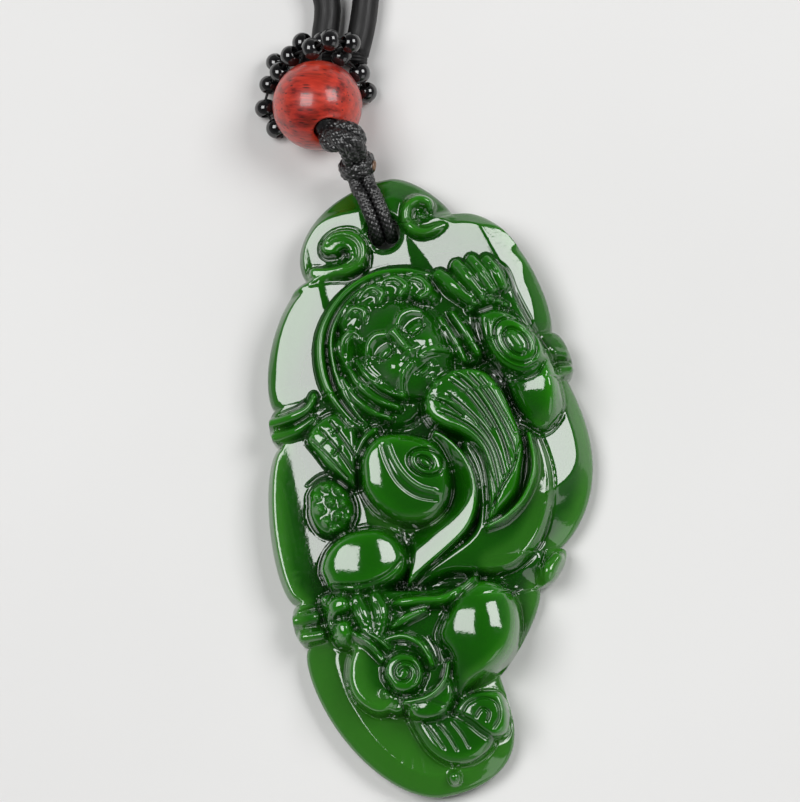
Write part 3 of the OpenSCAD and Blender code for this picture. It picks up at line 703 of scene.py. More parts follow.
# Rolls: rows of u, v, half width and height along their line, then the height of the foot
ROLLS = [
    # right scroll of the head
    ([(7.9, 25.3, 0.35, 4.9), (6.5, 24.75, 0.55, 5.5), (5.0, 24.6, 0.65, 5.8), (3.9, 25.2, 0.7, 5.9),
      (3.5, 26.4, 0.7, 5.9), (4.0, 27.5, 0.7, 5.9), (5.1, 27.9, 0.65, 5.8), (6.0, 27.4, 0.55, 5.6),
      (6.0, 26.7, 0.4, 5.2)], 4.2),
    ([(4.95, 26.1, 0.55, 5.4)], 4.4),
    # hood: a wide outer rim and a narrow one inside it
    ([(4.9, 20.1, 0.5, 6.0), (2.5, 21.2, 0.55, 6.5), (-0.3, 21.5, 0.6, 6.7), (-3, 20.8, 0.6, 6.7),
      (-5.4, 19.1, 0.65, 6.7), (-7.1, 16.7, 0.65, 6.7), (-7.7, 13.8, 0.65, 6.7), (-7.4, 11, 0.6, 6.6),
      (-6.3, 8.5, 0.55, 6.3), (-5, 6.9, 0.45, 6.0)], 4.4),
    ([(3.9, 20.0, 0.3, 6.6), (2.0, 20.6, 0.35, 6.8), (-0.4, 20.7, 0.38, 6.9), (-2.8, 20.0, 0.4, 6.9),
      (-4.9, 18.4, 0.4, 6.9), (-6.2, 16.2, 0.42, 6.9), (-6.5, 13.6, 0.42, 6.9), (-6.2, 11, 0.4, 6.8),
      (-5.4, 8.8, 0.38, 6.6), (-4.5, 7.2, 0.3, 6.2)], 4.4),
    # hair over the brow and its curls
    ([(-5.2, 13.2, 0.9, 6.5), (-4.4, 16.0, 1.2, 6.9), (-2.5, 18.2, 1.3, 7.0), (0, 19.4, 1.3, 7.0),
      (2.6, 19.3, 1.2, 6.9), (4.3, 18.2, 0.9, 6.7)], 5.2),
    ([(-5.3, 13.6, 0.6, 6.8), (-5.2, 15.2, 0.95, 7.3), (-4.2, 16.3, 0.9, 7.5), (-3.5, 15.6, 0.6, 7.3)], 5.2),
    ([(-4.7, 17.3, 0.6, 6.9), (-3.7, 18.4, 0.95, 7.4), (-2.6, 18.2, 0.9, 7.6), (-2.6, 17.3, 0.6, 7.5)], 5.2),
    ([(-2.7, 19.4, 0.6, 6.9), (-1.5, 20.1, 0.9, 7.3), (-0.5, 19.6, 0.9, 7.6), (-0.8, 18.7, 0.6, 7.5)], 5.2),
    ([(-0.2, 20.5, 0.6, 6.9), (1.0, 20.6, 0.85, 7.3), (1.9, 19.8, 0.9, 7.6), (1.3, 19.0, 0.6, 7.6)], 5.2),
    ([(2.2, 20.3, 0.6, 6.8), (3.4, 20.0, 0.85, 7.1), (4.0, 18.9, 0.85, 7.3), (3.2, 18.4, 0.6, 7.3)], 5.2),
    # locks beside the face
    ([(-5.9, 12.2, 0.4, 6.6), (-5.2, 10.2, 0.65, 7.0), (-3.8, 8.5, 0.6, 7.0), (-2.2, 7.4, 0.4, 6.7)], 5),
    ([(-5.2, 13.4, 0.4, 6.9), (-4.5, 11.4, 0.7, 7.3), (-3.1, 9.6, 0.65, 7.3), (-1.2, 8.3, 0.45, 7.0)], 5.2),
    ([(-4.2, 13.6, 0.35, 7.0), (-3.6, 12.0, 0.55, 7.5), (-2.2, 10.4, 0.55, 7.5), (-0.4, 9.1, 0.4, 7.2)], 5.4),
    ([(4.7, 15.9, 0.45, 6.9), (5.5, 13.7, 0.65, 7.2), (6.1, 11.4, 0.45, 7.0)], 5.6),
    ([(5.9, 16.2, 0.45, 6.8), (6.8, 14.1, 0.68, 7.1), (7.5, 11.9, 0.5, 6.8)], 5.6),
    # raised hand
    ([(5.5, 20.1, 0.8, 6.6), (6.6, 18.9, 1.05, 7.5), (7.9, 17.3, 0.9, 7.4)], 5.6),
    ([(7.4, 20.7, 0.8, 7.0), (8.1, 19.4, 0.98, 7.9), (9.1, 17.5, 0.8, 7.6)], 5.6),
    ([(8.9, 20.9, 0.75, 7.0), (9.6, 19.4, 0.92, 7.9), (10.2, 17.7, 0.78, 7.6)], 5.6),
    ([(10.3, 20.6, 0.7, 6.8), (10.9, 19.3, 0.82, 7.4), (11.3, 17.8, 0.7, 7.1)], 5.4),
    ([(7.9, 16.3, 0.75, 6.6), (9.4, 16.6, 0.85, 7.0), (11.1, 15.9, 0.7, 6.6)], 4.6),
    # fold along the beard
    ([(10.7, 3.2, 0.3, 7.2), (10.5, 0, 0.42, 7.7), (9, -2.6, 0.42, 7.9), (6.8, -4.2, 0.4, 7.9),
      (4.8, -4.8, 0.3, 7.6)], 5),
    # left sleeve above its cuff
    ([(-6.3, 4.4, 0.5, 6.4), (-5.2, 5.9, 0.6, 6.8), (-3.9, 6.6, 0.6, 6.8)], 4.6),
    # creature: two lobes and a leaf at its brow, strands of its mane, its jaw, and the small boss at the foot
    ([(-9.1, -9.2, 0.75, 6.6), (-8.9, -10.5, 0.9, 6.95), (-8.6, -12.2, 0.6, 6.6)], 6.0),
    ([(-7.3, -9.3, 0.75, 6.6), (-7.1, -10.7, 0.92, 6.95), (-7.5, -12.4, 0.6, 6.6)], 6.0),
    ([(-6.2, -12.3, 0.4, 6.9), (-4.8, -11.7, 0.62, 7.3), (-2.9, -11.4, 0.35, 7.0)], 5),
    ([(-7.2, -13.4, 0.5, 6.6), (-5.4, -13.4, 0.6, 7.0), (-3.9, -14.6, 0.62, 7.1),
      (-3.3, -16.6, 0.5, 6.7)], 4.8),
    ([(-10.0, -12.3, 0.45, 6.4), (-8.7, -13.6, 0.55, 6.9), (-7.9, -15.2, 0.45, 6.6)], 4.6),
    ([(-9.2, -12.0, 0.4, 6.6), (-7.9, -13.1, 0.5, 7.0), (-7.0, -14.3, 0.4, 6.7)], 4.8),
    ([(-1.7, -16.8, 0.35, 6.6), (-2.5, -18.5, 0.5, 6.9), (-4.3, -19.6, 0.5, 6.8),
      (-6.6, -19.7, 0.45, 6.4)], 4.4),
    ([(-3.5, -27.8, 0.75, 3.8)], 2.6),
    # knots of the border
    ([(-13.7, 9.4, 0.55, 4.4), (-11.6, 9.6, 0.75, 5.5), (-9.8, 10.1, 0.65, 5.8), (-9, 11.2, 0.5, 5.8)], 3.6),
    ([(-13.6, 8, 0.6, 4.2), (-11.4, 8.2, 0.7, 5.3), (-9.6, 8.9, 0.6, 5.6)], 3.6),
    ([(15.0, 10.3, 0.75, 4.6), (15.9, 9.9, 0.5, 3.8)], 2.8),
    ([(15.1, 8.5, 0.8, 4.5), (16, 8.4, 0.55, 3.8)], 2.8),
    ([(-15.3, -9.9, 0.75, 3.8), (-13.4, -9.9, 0.85, 4.6)], 2.8),
    ([(-14.9, -11.6, 0.7, 3.8), (-13.2, -11.7, 0.75, 4.4)], 2.8),
    ([(10.8, -9.3, 0.7, 3.9), (9.7, -10.3, 1.0, 4.5), (9.4, -11.4, 0.7, 4.0)], 2.8)]

# Mounds: foot, top, width of the rounded edge, crest and boundary. A crest is the u and v of the highest
# place, then how far to its left, right, foot and head side the mound has fallen by one millimetre
MOUNDS = [
    # scrolls of the head
    (4.2, 5.7, 0.5, (-2.5, 24, 7, 7, 7, 7),
     [(-7.0, 22.0), (-5, 21.9), (-3, 21.8), (-1.4, 22.5), (-0.75, 24), (-1, 25.4), (-2, 26.4), (-3.6, 26.6),
      (-4.9, 26.0), (-5.4, 25.0), (-4.9, 24.3), (-3.9, 24.1), (-3.3, 24.4), (-2.9, 24.3), (-2.9, 23.7),
      (-3.8, 23.3), (-5, 23.3), (-6.7, 23.6), (-7.1, 22.8)]),
    # ground of the figure's head, under the hood
    (4.6, 5.9, 0.7, (3, 13, 14, 14, 14, 14),
     [(4.9, 19.8), (2, 20.9), (-0.5, 21), (-3.2, 20.2), (-5.4, 18.3), (-6.7, 15.8), (-6.9, 12.5), (-6.2, 9.4),
      (-4.2, 6.9), (0, 6.5), (4, 10), (8, 11), (8.6, 14), (7.5, 17)]),
    # raised sleeve
    (4.2, 6.3, 0.45, (11, 12, 6, 5, 10, 10),
     [(11.0, 20.0), (12.0, 19.2), (12.4, 16.6), (13.2, 13.6), (14.3, 10.7), (14.8, 7.6), (14.6, 5.2),
      (13.4, 3.6), (11.5, 3.3), (10, 6), (9.4, 9), (8, 12), (8, 16), (9, 19)]),
    # robe
    (3.8, 7.2, 0.8, (2.6, 1, 6, 6.2, 6.6, 9),
     [(11.6, 3.2), (12.1, 0), (11.7, -3), (10.4, -5.9), (8.5, -8.1), (6, -9.3), (3, -9.0), (0, -8.4),
      (-4.4, -9.3), (-3.4, -7.6), (0.5, -6.2), (3.6, -4.4), (4.4, 0), (4, 4), (8, 5), (10.6, 4)]),
    # bag of the raised sleeve
    (4.4, 7.3, 1.0, (14, 7.7, 3.6, 3.6, 3.0, 4),
     [(9.7, 9), (10.3, 5), (11.3, 3.4), (12.5, 3.2), (13.7, 4.2), (14.4, 6), (14.6, 8), (14.1, 10.6),
      (12.5, 9.6)]),
    # raised cuff
    (5.0, 8.0, 0.9, (11, 12.5, 4.5, 4.5, 5, 5),
     [(8.3, 15.9), (8.2, 14), (8.5, 12), (9.4, 10.2), (10.8, 9.0), (12.5, 8.8), (13.8, 9.8), (13.9, 11.6),
      (12.9, 13.6), (11.4, 15.3), (9.8, 16.1)]),
    # beard
    (5.6, 8.3, 0.8, (6.3, 4, 13, 8, 11, 12),
     [(1.1, 7.4), (1.4, 9), (2.4, 10.1), (4, 10.9), (6, 10.9), (7.6, 10.3), (8.7, 9.1), (9.4, 7), (10.0, 3.4),
      (9.7, 1), (8.5, -2), (6.6, -3.6), (4.9, -4.3), (5.4, -2), (5.7, 1), (5.2, 3), (4, 4.4), (2.5, 5.4),
      (1.5, 6.4)]),
    # left hand and what it holds
    (4.6, 6.6, 0.8, (-7.6, 5.3, 5, 6, 6, 6),
     [(-10.7, 7), (-9.4, 8.7), (-7.2, 9.2), (-5.6, 7.4), (-5.9, 4.6), (-6.8, 1.4), (-8.2, 2.6), (-9.6, 4.5)]),
    (4.4, 6.2, 0.8, (-9.3, 0.1, 4, 4, 4, 4),
     [(-11.6, 2), (-10.3, 3), (-8.9, 2.9), (-7.6, 1.4), (-7.3, -0.6), (-8.3, -2.2), (-9.9, -2.8),
      (-11.4, -1.9), (-12, 0)]),
    # left cuff
    (5.0, CUFF_TOP, 1.1, (-3.8, 2.8, 3.3, 8, 4.6, 7),
     [(-6.2, 3.9), (-5.2, 5.4), (-3.6, 6.3), (-1.6, 6.1), (0.3, 5.4), (1.8, 4.3), (2.5, 1.9), (2.3, -0.3),
      (1.4, -2), (-0.2, -3), (-2.2, -3), (-4.1, -2.2), (-5.7, -0.6), (-6.5, 1.6)]),
    # knee
    (4.4, 7.9, 1.2, (-7.5, -5.2, 4.0, 3.5, 4.1, 4.1),
     [(-12.1, -5.4), (-11.3, -3.7), (-9.6, -2.5), (-7.4, -2.1), (-5.2, -2.5), (-3.7, -3.9), (-3.2, -5.6),
      (-3.8, -7.3), (-5.4, -8.2), (-7.8, -8.5), (-10.2, -8.2), (-11.7, -7.1)]),
    # creature: body under its head, two bumps at its brow, the lock towards its back, haunch, cheek, jaw,
    # curl, tail and the tail's curl
    (3.6, 5.8, 0.6, (-6, -13, 14, 9, 12, 9),
     [(-12.7, -9.4), (-12.4, -7.9), (-9.5, -7.9), (-5, -8.9), (-2.4, -9.4), (1, -10), (1.6, -12.4), (-1, -15),
      (-1.6, -18), (-3, -20.8), (-6.4, -20.8), (-8.4, -20.4), (-9.4, -18), (-9.6, -14.6), (-11.8, -13.2),
      (-12.5, -11.4)]),
    (4.0, 7.1, 1.0, (-10.3, -9.4, 2.2, 2.3, 2.6, 2.4),
     [(-12.4, -9.6), (-12.1, -8.4), (-11, -7.9), (-9.9, -8.2), (-9.5, -9.2), (-9.8, -10.1), (-10.9, -10.4),
      (-12, -10.4)]),
    (4.0, 6.9, 0.9, (-10.7, -11.5, 2.2, 2.2, 2.6, 2.2),
     [(-12.1, -11.3), (-11.6, -10.5), (-10.6, -10.4), (-9.9, -11), (-9.9, -12.2), (-10.6, -13),
      (-11.4, -12.9), (-12, -12.2)]),
    (4.4, 7.3, 0.8, (-1.4, -10.2, 7, 5, 2.4, 3),
     [(-6.3, -10.3), (-5.2, -9.5), (-3, -9.7), (-1.2, -10), (0.8, -9.6), (2.4, -8.9), (3.1, -9.4),
      (1.5, -10.7), (-0.5, -11.6), (-2.8, -11.2), (-5, -11)]),
    (3.6, 8.2, 1.1, (2.15, -13.4, 3.6, 2.75, 4.5, 3.7),
     [(2.6, -9.2), (4.9, -9.9), (6.1, -11.8), (6.0, -14.3), (4.7, -16.8), (2.3, -18.5), (-0.3, -19.6),
      (-1.8, -21.6), (-2.8, -20.6), (-2.2, -18.2), (-1.7, -16.2), (-2.4, -13.8), (-0.6, -11.4),
      (1.0, -10.0)]),
    (3.6, 5.8, 0.7, (-9.2, -16.8, 14, 9, 12, 12),
     [(-11.2, -14.6), (-11.7, -16.6), (-11.3, -18.6), (-9.8, -20.2), (-8.2, -20.4), (-7.2, -19.4),
      (-7.4, -17.6), (-8.2, -15.2), (-9.4, -13.5), (-10.6, -13.6)]),
    (3.6, 6.4, 0.8, (-3.6, -19.6, 5, 5, 4, 5),
     [(-6.9, -19.6), (-4.8, -19.6), (-3.1, -18.9), (-1.9, -17.2), (-1.4, -18.6), (-1.9, -20.8), (-3.4, -22),
      (-5.4, -21.9), (-6.7, -20.9)]),
    (4.4, 7.1, 0.6, (-6.1, -16.9, 4, 4, 4, 4),
     [(-8.2, -16.9), (-7.6, -15.3), (-6.2, -14.7), (-4.7, -15.3), (-4.1, -16.9), (-4.7, -18.4), (-6.1, -19),
      (-7.6, -18.4)]),
    (2.8, 4.9, 0.9, (-2.6, -23, 8, 8, 7, 8),
     [(-6.7, -20.6), (-6.3, -22.8), (-5.4, -25), (-3.8, -26.5), (-1.8, -26.9), (0, -26.3), (1.2, -25),
      (0.8, -23), (-0.8, -22), (-2.6, -21.4), (-4.6, -20.4)]),
    (2.8, 5.5, 0.7, (0.4, -21.8, 5, 5, 5, 4),
     [(-2.5, -21.8), (-1.6, -20.6), (0, -20.0), (2, -20.2), (2.9, -21), (3, -23), (2.4, -24.6), (1.1, -25),
      (0, -24.2), (-1, -23)])]

# The hollow fold between the left cuff and the beard: its outer ridge, then its inner side
SCOOP_RIDGE = [(1.6, 5.4), (2.5, 5.0), (3.8, 3.3), (4.6, 1.2), (4.7, -1), (4.1, -3.2), (2.6, -5.0), (0, -6.5),
               (-2, -7.5), (-4.0, -8.7)]
SCOOP_INSIDE = [(-3.5, -6.8), (-3.4, -5), (-3.3, -3), (-2, 0), (0, 3)]


def ring(cu, cv, long, wide, tilt, start=0, turn=360, grow=1.0):
    """Points of an oval or a spiral: middle, half axes, tilt, start and turn, with its angles in degrees"""
    points = []
    for k in range(int(abs(turn) / 30) + 1):
        a = math.radians(start + math.copysign(30 * k, turn))
        size = grow ** (k / 12)
        x, y = long * size * math.cos(a), wide * size * math.sin(a)
        t = math.radians(tilt)
        points.append((cu + x * math.cos(t) - y * math.sin(t), cv + x * math.sin(t) + y * math.cos(t)))
    return points


# Fine cuts are rows of half width, height (below 0 for a groove) and line
def groove(depth, *lines, half):
    return [(half, -depth, line) for line in lines]


def ridge(height, *lines, half):
    return [(half, height, line) for line in lines]


def bumps(height, half, *places):
    return [(half, height, [place]) for place in places]


# The figure's face is a plain one: even brows, lowered lids, a straight nose and a small closed mouth
FACE_AT = (0.5, 14.3)
FACE_TILT = 27


def on_face(cuts):
    """Cuts drawn as right and up from the middle of the face, turned to the tilt of the head"""
    t = math.radians(FACE_TILT)
    turned = []
    for half, amount, line in cuts:
        turned.append((half, amount, [(FACE_AT[0] + a * math.cos(t) - b * math.sin(t),
                                       FACE_AT[1] + a * math.sin(t) + b * math.cos(t)) for a, b in line]))
    return turned


def both_sides(cuts):
    """The cuts and their mirror images across the middle of the face"""
    return cuts + [(half, amount, [(-a, b) for a, b in line]) for half, amount, line in cuts]


FACE = on_face(
    both_sides(
        groove(0.45, [(0.8, 0.4), (1.9, 0.8), (3.0, 0.3)], half=1.0)
        + ridge(0.5, [(1.1, 0.3), (1.95, 0.4), (2.7, 0.15)], half=0.8)
        + groove(0.3, [(0.9, -0.1), (1.95, -0.28), (2.9, -0.1)], half=0.22)
        + ridge(0.42, [(0.55, 1.5), (1.6, 2.15), (2.8, 1.9), (3.6, 1.0)], half=0.6)
        + bumps(0.55, 1.7, (2.25, -1.6))
        + bumps(0.3, 0.55, (0.75, -1.3))
        + ridge(0.5, [(0.3, -2.15), (1.4, -2.4), (2.6, -3.1), (3.3, -4.3)], half=0.6)
        + groove(0.2, [(0.6, -2.2), (1.8, -2.75), (2.9, -3.9)], half=0.16)
        + ridge(0.35, [(4.0, 1.0), (4.2, 0), (3.95, -1.4)], half=0.5))
    + ridge(0.75, [(0, 1.6), (0, 0.4), (0, -1.0)], half=0.75)
    + bumps(0.5, 0.85, (0, -1.2))
    + groove(0.3, [(-0.9, -3.1), (0, -3.16), (0.9, -3.1)], half=0.22)
    + ridge(0.3, [(-0.6, -3.5), (0, -3.56), (0.6, -3.5)], half=0.36)
    + ridge(0.45, [(0, -4.2), (0, -5.4)], half=0.7))


def fan_ray(angle):
    """A line of the fan at the foot, at an angle in degrees"""
    a = math.radians(angle)
    return [(-6.0 + 9.5 * math.cos(a) * 0.62, -18.4 + 11 * math.sin(a) * 0.62),
            (-6.0 + 9.0 * math.cos(a), -18.4 + 10.4 * math.sin(a))]


CARVING = FACE + (
    # left scroll of the head
    groove(0.22, [(-4.7, 25.3), (-3.9, 25.8), (-2.7, 25.7), (-1.9, 25.0), (-1.7, 24.0), (-2.2, 23.2),
                  (-3.4, 22.9)],
           half=0.28)
    + bumps(0.3, 0.45, (-2.7, 24.0))
    # curls
    + groove(0.3, [(-5.2, 14.2), (-4.9, 15.6), (-4.1, 16.1), (-3.6, 15.7)],
             [(-4.2, 17.7), (-3.4, 18.4), (-2.7, 18.0)], [(-2.2, 19.6), (-1.2, 20.0), (-0.6, 19.3)],
             [(0.1, 20.5), (1.1, 20.4), (1.7, 19.6)], [(2.6, 20.2), (3.5, 19.7), (3.6, 18.9)], half=0.2)
    + groove(0.22, [(-5.6, 14.6), (-5.3, 16.1), (-4.3, 16.9)], [(-4.6, 18.0), (-3.6, 19.0), (-2.5, 18.7)],
             [(-2.5, 19.9), (-1.2, 20.7), (-0.1, 20.0)], [(-0.1, 21.0), (1.3, 21.1), (2.4, 20.2)], half=0.16)
    # locks beside the cheeks
    + groove(0.22, [(5.3, 15.4), (6.0, 13.4), (6.6, 11.8)], [(4.8, 14.9), (5.4, 13.0), (5.8, 11.6)],
             [(6.5, 15.8), (7.3, 13.8), (7.9, 12.2)], half=0.16)
    + groove(0.2, [(-4.5, 12.0), (-3.6, 10.3), (-2.0, 8.8)], [(-5.1, 10.8), (-4.1, 9.2), (-2.7, 8.0)],
             [(-3.6, 12.6), (-2.8, 11.2), (-1.3, 9.7)], [(-2.4, 9.9), (-1.2, 8.9), (0.2, 8.2)], half=0.16)
    # raised hand, wrist and cuff
    + groove(0.3, [(6.6, 19.9), (7.3, 18.7), (8.0, 17.7)], [(7.9, 20.3), (8.7, 18.9), (9.3, 17.6)],
             [(9.2, 20.4), (9.9, 19.0), (10.4, 17.8)], [(10.5, 20.2), (11.0, 19.2)], half=0.2)
    + bumps(0.55, 0.5, (7.6, 16.0), (8.3, 16.5), (9.1, 16.8), (9.9, 16.7), (10.6, 16.3), (11.2, 15.7))
    + groove(0.45, ring(11.35, 12.2, 2.5, 1.75, -62), ring(11.4, 12.1, 1.5, 0.95, -62), half=0.26)
    + groove(0.3, [(9.0, 15.0), (8.9, 12.9), (9.7, 10.7), (11.4, 9.4), (13.1, 9.7)], half=0.22)
    + ridge(0.3, [(11.1, 12.9), (11.7, 11.4)], half=0.5)
    + groove(0.35, [(9.9, 8.6), (11.4, 8.3), (12.8, 8.6), (13.9, 9.8)], half=0.25)
    # beard
    + groove(0.42, [(5.0, 10.2), (6.2, 8.5), (7.3, 6), (8.1, 3), (8.2, 0)],
             [(7.0, 9.9), (8.0, 7.6), (8.9, 5), (9.4, 3.2)],
             [(2.6, 7.1), (4, 6.1), (5.5, 4.6), (6.5, 2.5), (6.7, 0), (6.5, -2.2)],
             [(3.7, 8.6), (5, 6.9), (6.4, 4.6), (7.2, 2.2), (7.4, -0.8)],
             [(5.2, -3.6), (7, -1.4), (8.6, 0.4), (9.6, 2.4)], [(2.2, 8.6), (3.4, 7.6), (4.8, 6.0)],
             [(4.3, 9.8), (5.6, 8.2), (6.6, 6.2), (7.4, 4.2)],
             [(6.0, 10.3), (7.2, 8.2), (8.2, 5.6), (8.9, 2.6), (8.9, 0.8)],
             [(5.6, -3.9), (6.2, -2.0), (6.2, 0.4), (5.8, 2.6)], half=0.22)
    + ridge(0.3, [(4.7, 10.6), (5.9, 9.7), (7.1, 7.6), (8.1, 4.4), (8.6, 1.4)],
            [(1.5, 8.6), (3.0, 8.2), (4.6, 7.1), (6.0, 5.2)], half=0.24)
    # left cuff, hand and what it holds
    + groove(0.5, ring(0.3, 2.5, 1.75, 1.25, -30), ring(0.2, 2.5, 0.8, 0.45, -45), half=0.26)
    + ridge(0.3, [(-3.0, 5.3), (-2.7, 3.4), (-2.0, 1.6), (-0.8, 0.2), (0.8, -0.6)], half=0.34)
    + groove(0.2, [(-3.6, 5.2), (-3.4, 3.2), (-2.7, 1.1), (-1.3, -0.5), (0.8, -1.4)],
             [(-1.7, 5.3), (-0.6, 5.0), (0.6, 4.3)], half=0.3)
    + groove(0.4, [(-10.2, 7.0), (-8.8, 4.9), (-7.4, 2.4)], [(-9.2, 7.9), (-7.9, 5.6), (-6.8, 3.0)],
             [(-8.1, 8.5), (-7.1, 6.4), (-6.3, 4.4)], [(-7.0, 8.6), (-6.2, 7.2)],
             [(-9.4, 6.2), (-8.6, 6.7)], [(-8.4, 5.0), (-7.5, 5.6)], [(-8.0, 7.0), (-7.3, 7.5)], half=0.2)
    + bumps(0.55, 0.62, (-10.9, 1.4), (-9.7, 2.1), (-8.6, 1.6), (-10.8, 0.1), (-9.6, 0.6), (-8.4, 0.2),
            (-10.4, -1.2), (-9.2, -0.9), (-9.8, -2.1), (-8.3, -1.3))
    + groove(0.3, [(-11.6, 2.6), (-10.2, 3.3), (-8.8, 3.4)], half=0.25)
    # hems of the robe and of the raised sleeve, and the crease under the knee
    + ridge(0.14, [(11.5, 2.6), (11.75, 0), (11.35, -2.9), (10.1, -5.6), (8.3, -7.7), (6, -8.9), (3, -8.6)],
            half=0.24)
    + ridge(0.2, [(12.0, 18.8), (12.25, 16.4), (13.0, 13.5), (14.1, 10.6), (14.55, 7.6), (14.3, 5.4)],
            half=0.25)
    + groove(0.3, [(-11.2, -7.2), (-9.6, -7.6), (-8, -7.8), (-5.6, -7.3), (-3.9, -6.1)], half=0.3)
    + groove(0.25, [(-3.0, -4.2), (-2.9, -6.0), (-3.9, -8.2)], half=0.3)
    # creature: leaf and lobes at its brow, mane, curl, cheek, and its tail's rays, edge and curl
    + groove(0.3, [(-5.9, -12.3), (-4.6, -11.75), (-3.2, -11.5)], half=0.2)
    + groove(0.16, [(-9.3, -9.3), (-9.0, -10.6), (-8.7, -11.7)], [(-7.4, -9.6), (-7.2, -10.8), (-7.5, -11.8)],
             half=0.18)
    + groove(0.28, [(-9.7, -12.9), (-8.6, -14.0), (-7.9, -15.2)],
             [(-8.6, -12.3), (-7.5, -13.3), (-6.8, -14.4)],
             [(-6.9, -13.0), (-5.4, -13.1), (-4.0, -14.1), (-3.3, -15.8)], half=0.18)
    + groove(0.34, [(-6.6, -14.1), (-5.2, -14.2), (-4.1, -15.1), (-3.7, -16.6), (-4.0, -18.0)],
             [(-3.0, -14.0), (-2.5, -15.4), (-2.5, -16.8)], half=0.2)
    + groove(0.42, ring(-6.15, -16.9, 0.42, 0.4, 0, 180, -600, 2.15), half=0.24)
    + bumps(0.35, 0.6, (-6.0, -20.4), (-8.4, -18.6))
    + ridge(0.14, [(-10.9, -14.3), (-11.45, -16.5), (-11.1, -18.4), (-9.7, -19.9), (-8.3, -20.2)], half=0.24)
    + groove(0.16, [(-5.4, -21.9), (-4.6, -23.4), (-3.9, -25.0)],
             [(-4.0, -22.4), (-3.2, -23.9), (-2.7, -25.4)],
             [(-2.6, -22.6), (-1.9, -24.0), (-1.5, -25.4)], half=0.2)
    + ridge(0.12, [(-6.4, -21.2), (-6.0, -23.0), (-5.1, -24.9), (-3.6, -26.3), (-1.8, -26.7), (-0.1, -26.0)],
            half=0.22)
    + groove(0.3, [(-1.6, -22.2), (-0.7, -21.2), (0.8, -20.9), (2.0, -21.6), (2.0, -23.0), (1.2, -24.0)],
             [(-0.3, -22.6), (0.5, -21.9), (1.1, -22.4), (0.7, -23.2)], half=0.22)
    # knots of the border
    + groove(0.3, [(-13.4, 8.7), (-11.6, 8.8), (-9.9, 9.4), (-8.8, 10.4)],
             [(-13.2, 9.9), (-11.4, 10.2), (-9.8, 10.8)], half=0.2)
    + groove(0.3, [(14.6, 9.3), (15.4, 9.2), (16.3, 9.1)], [(-15.6, -10.8), (-14.2, -10.8), (-12.9, -10.9)],
             [(9.9, -8.4), (9.3, -9.6), (9.0, -10.9)], half=0.22)
    + ridge(0.25, [(-15.0, -9.0), (-13.8, -8.9), (-12.8, -9.1)], half=0.22)
    # faint rays of the fan at the foot
    + groove(0.016, *[fan_ray(angle) for angle in range(186, 276, 9)], half=0.3))


# Where light comes through the rounded edges of the forms: how much, half width and line
PALE_EDGES = [
    (0.6, 1.9, [(-10.6, -14.2), (-10.9, -16.5), (-10.4, -18.6), (-8.9, -19.8)]),
    (0.5, 1.7, [(11.5, 0.5), (10.9, -3), (9.5, -5.6), (7.4, -7.5), (4.5, -8.4)]),
    (0.55, 1.3, [(5.8, -12.8), (5.1, -15.4), (3.0, -17.5), (0.2, -18.8)]),
    (0.4, 1.2, [(-6.0, -1.4), (-4.4, -2.6), (-2.0, -3.0), (0.2, -2.8)]),
    (0.4, 0.9, [(-6.6, 22.6), (-3.4, 22.4), (-1.5, 23.6), (-1.9, 25.6), (-3.8, 26.1), (-4.9, 25.0)]),
    (0.4, 0.9, [(6.4, 24.8), (4.6, 24.8), (3.6, 26.2), (4.4, 27.7), (5.8, 27.4)]),
    (0.35, 1.3, [(14.2, 10), (14.5, 7.4), (13.9, 5), (12.4, 3.9)]),
    (0.3, 0.8, [(-6.2, -21), (-5.8, -23.4), (-4.2, -25.8), (-2, -26.5), (0, -25.9)])]


def ease(low, high, x):
    """A smooth step of x: 0 at low and 1 at high, whichever of them is the greater"""
    t = np.clip((x - low) / (high - low), 0, 1)
    return t * t * (3 - 2 * t)


def side_of(lobes, v, way):
    """u of the outline's one side at heights v, with its lobes bulging the way of the side"""
    u = np.zeros_like(v)
    for top, top_u, foot, foot_u, bulge, roundness, skew in lobes:
        here = (v <= top + 1e-9) & (v >= foot - 1e-9)
        t = np.clip((top - v[here]) / (top - foot), 0, 1)
        s = t ** skew
        u[here] = top_u + (foot_u - top_u) * t + way * bulge * np.clip(4 * s * (1 - s), 0, None) ** roundness
    return u


def nearest(points, rows):
    """Distance of points from a line of rows, the rows' other columns there, and its share of the line"""
    best = np.full(len(points), 1e9)
    other = np.zeros((len(points), rows.shape[1] - 2))
    shares = np.zeros(len(points))
    if len(rows) == 1:
        return np.linalg.norm(points - rows[0, :2], axis=1), np.repeat(rows[:, 2:], len(points), 0), shares
    for i in range(len(rows) - 1):
        a, b = rows[i], rows[i + 1]
        ab = b[:2] - a[:2]
        t = np.clip(((points - a[:2]) @ ab) / max(ab @ ab, 1e-9), 0, 1)
        d = np.linalg.norm(points - a[:2] - t[:, None] * ab, axis=1)
        closer = d < best
        best[closer] = d[closer]
        other[closer] = (a[2:] + (b[2:] - a[2:]) * t[:, None])[closer]
        shares[closer] = (i + t[closer]) / (len(rows) - 1)
    return best, other, shares


def add_rolls(points, height):
    """Each roll lifts the stone to a round back along its line"""
    for rows, foot in ROLLS:
        line = through(rows, 5)
        line[:, 1] -= LEAN * (line[:, 3] - LEAN_FROM)
        reach = line[:, 2].max()
        low, high = line[:, :2].min(0) - reach, line[:, :2].max(0) + reach
        here = np.where(((points > low) & (points < high)).all(1))[0]
        distance, other, _ = nearest(points[here], line)
        r = distance / other[:, 0]
        back = foot + (other[:, 1] - foot) * np.sqrt(np.clip(1 - r ** 2, 0, 1))
        height[here[r < 1]] = np.maximum(height[here[r < 1]], back[r < 1])


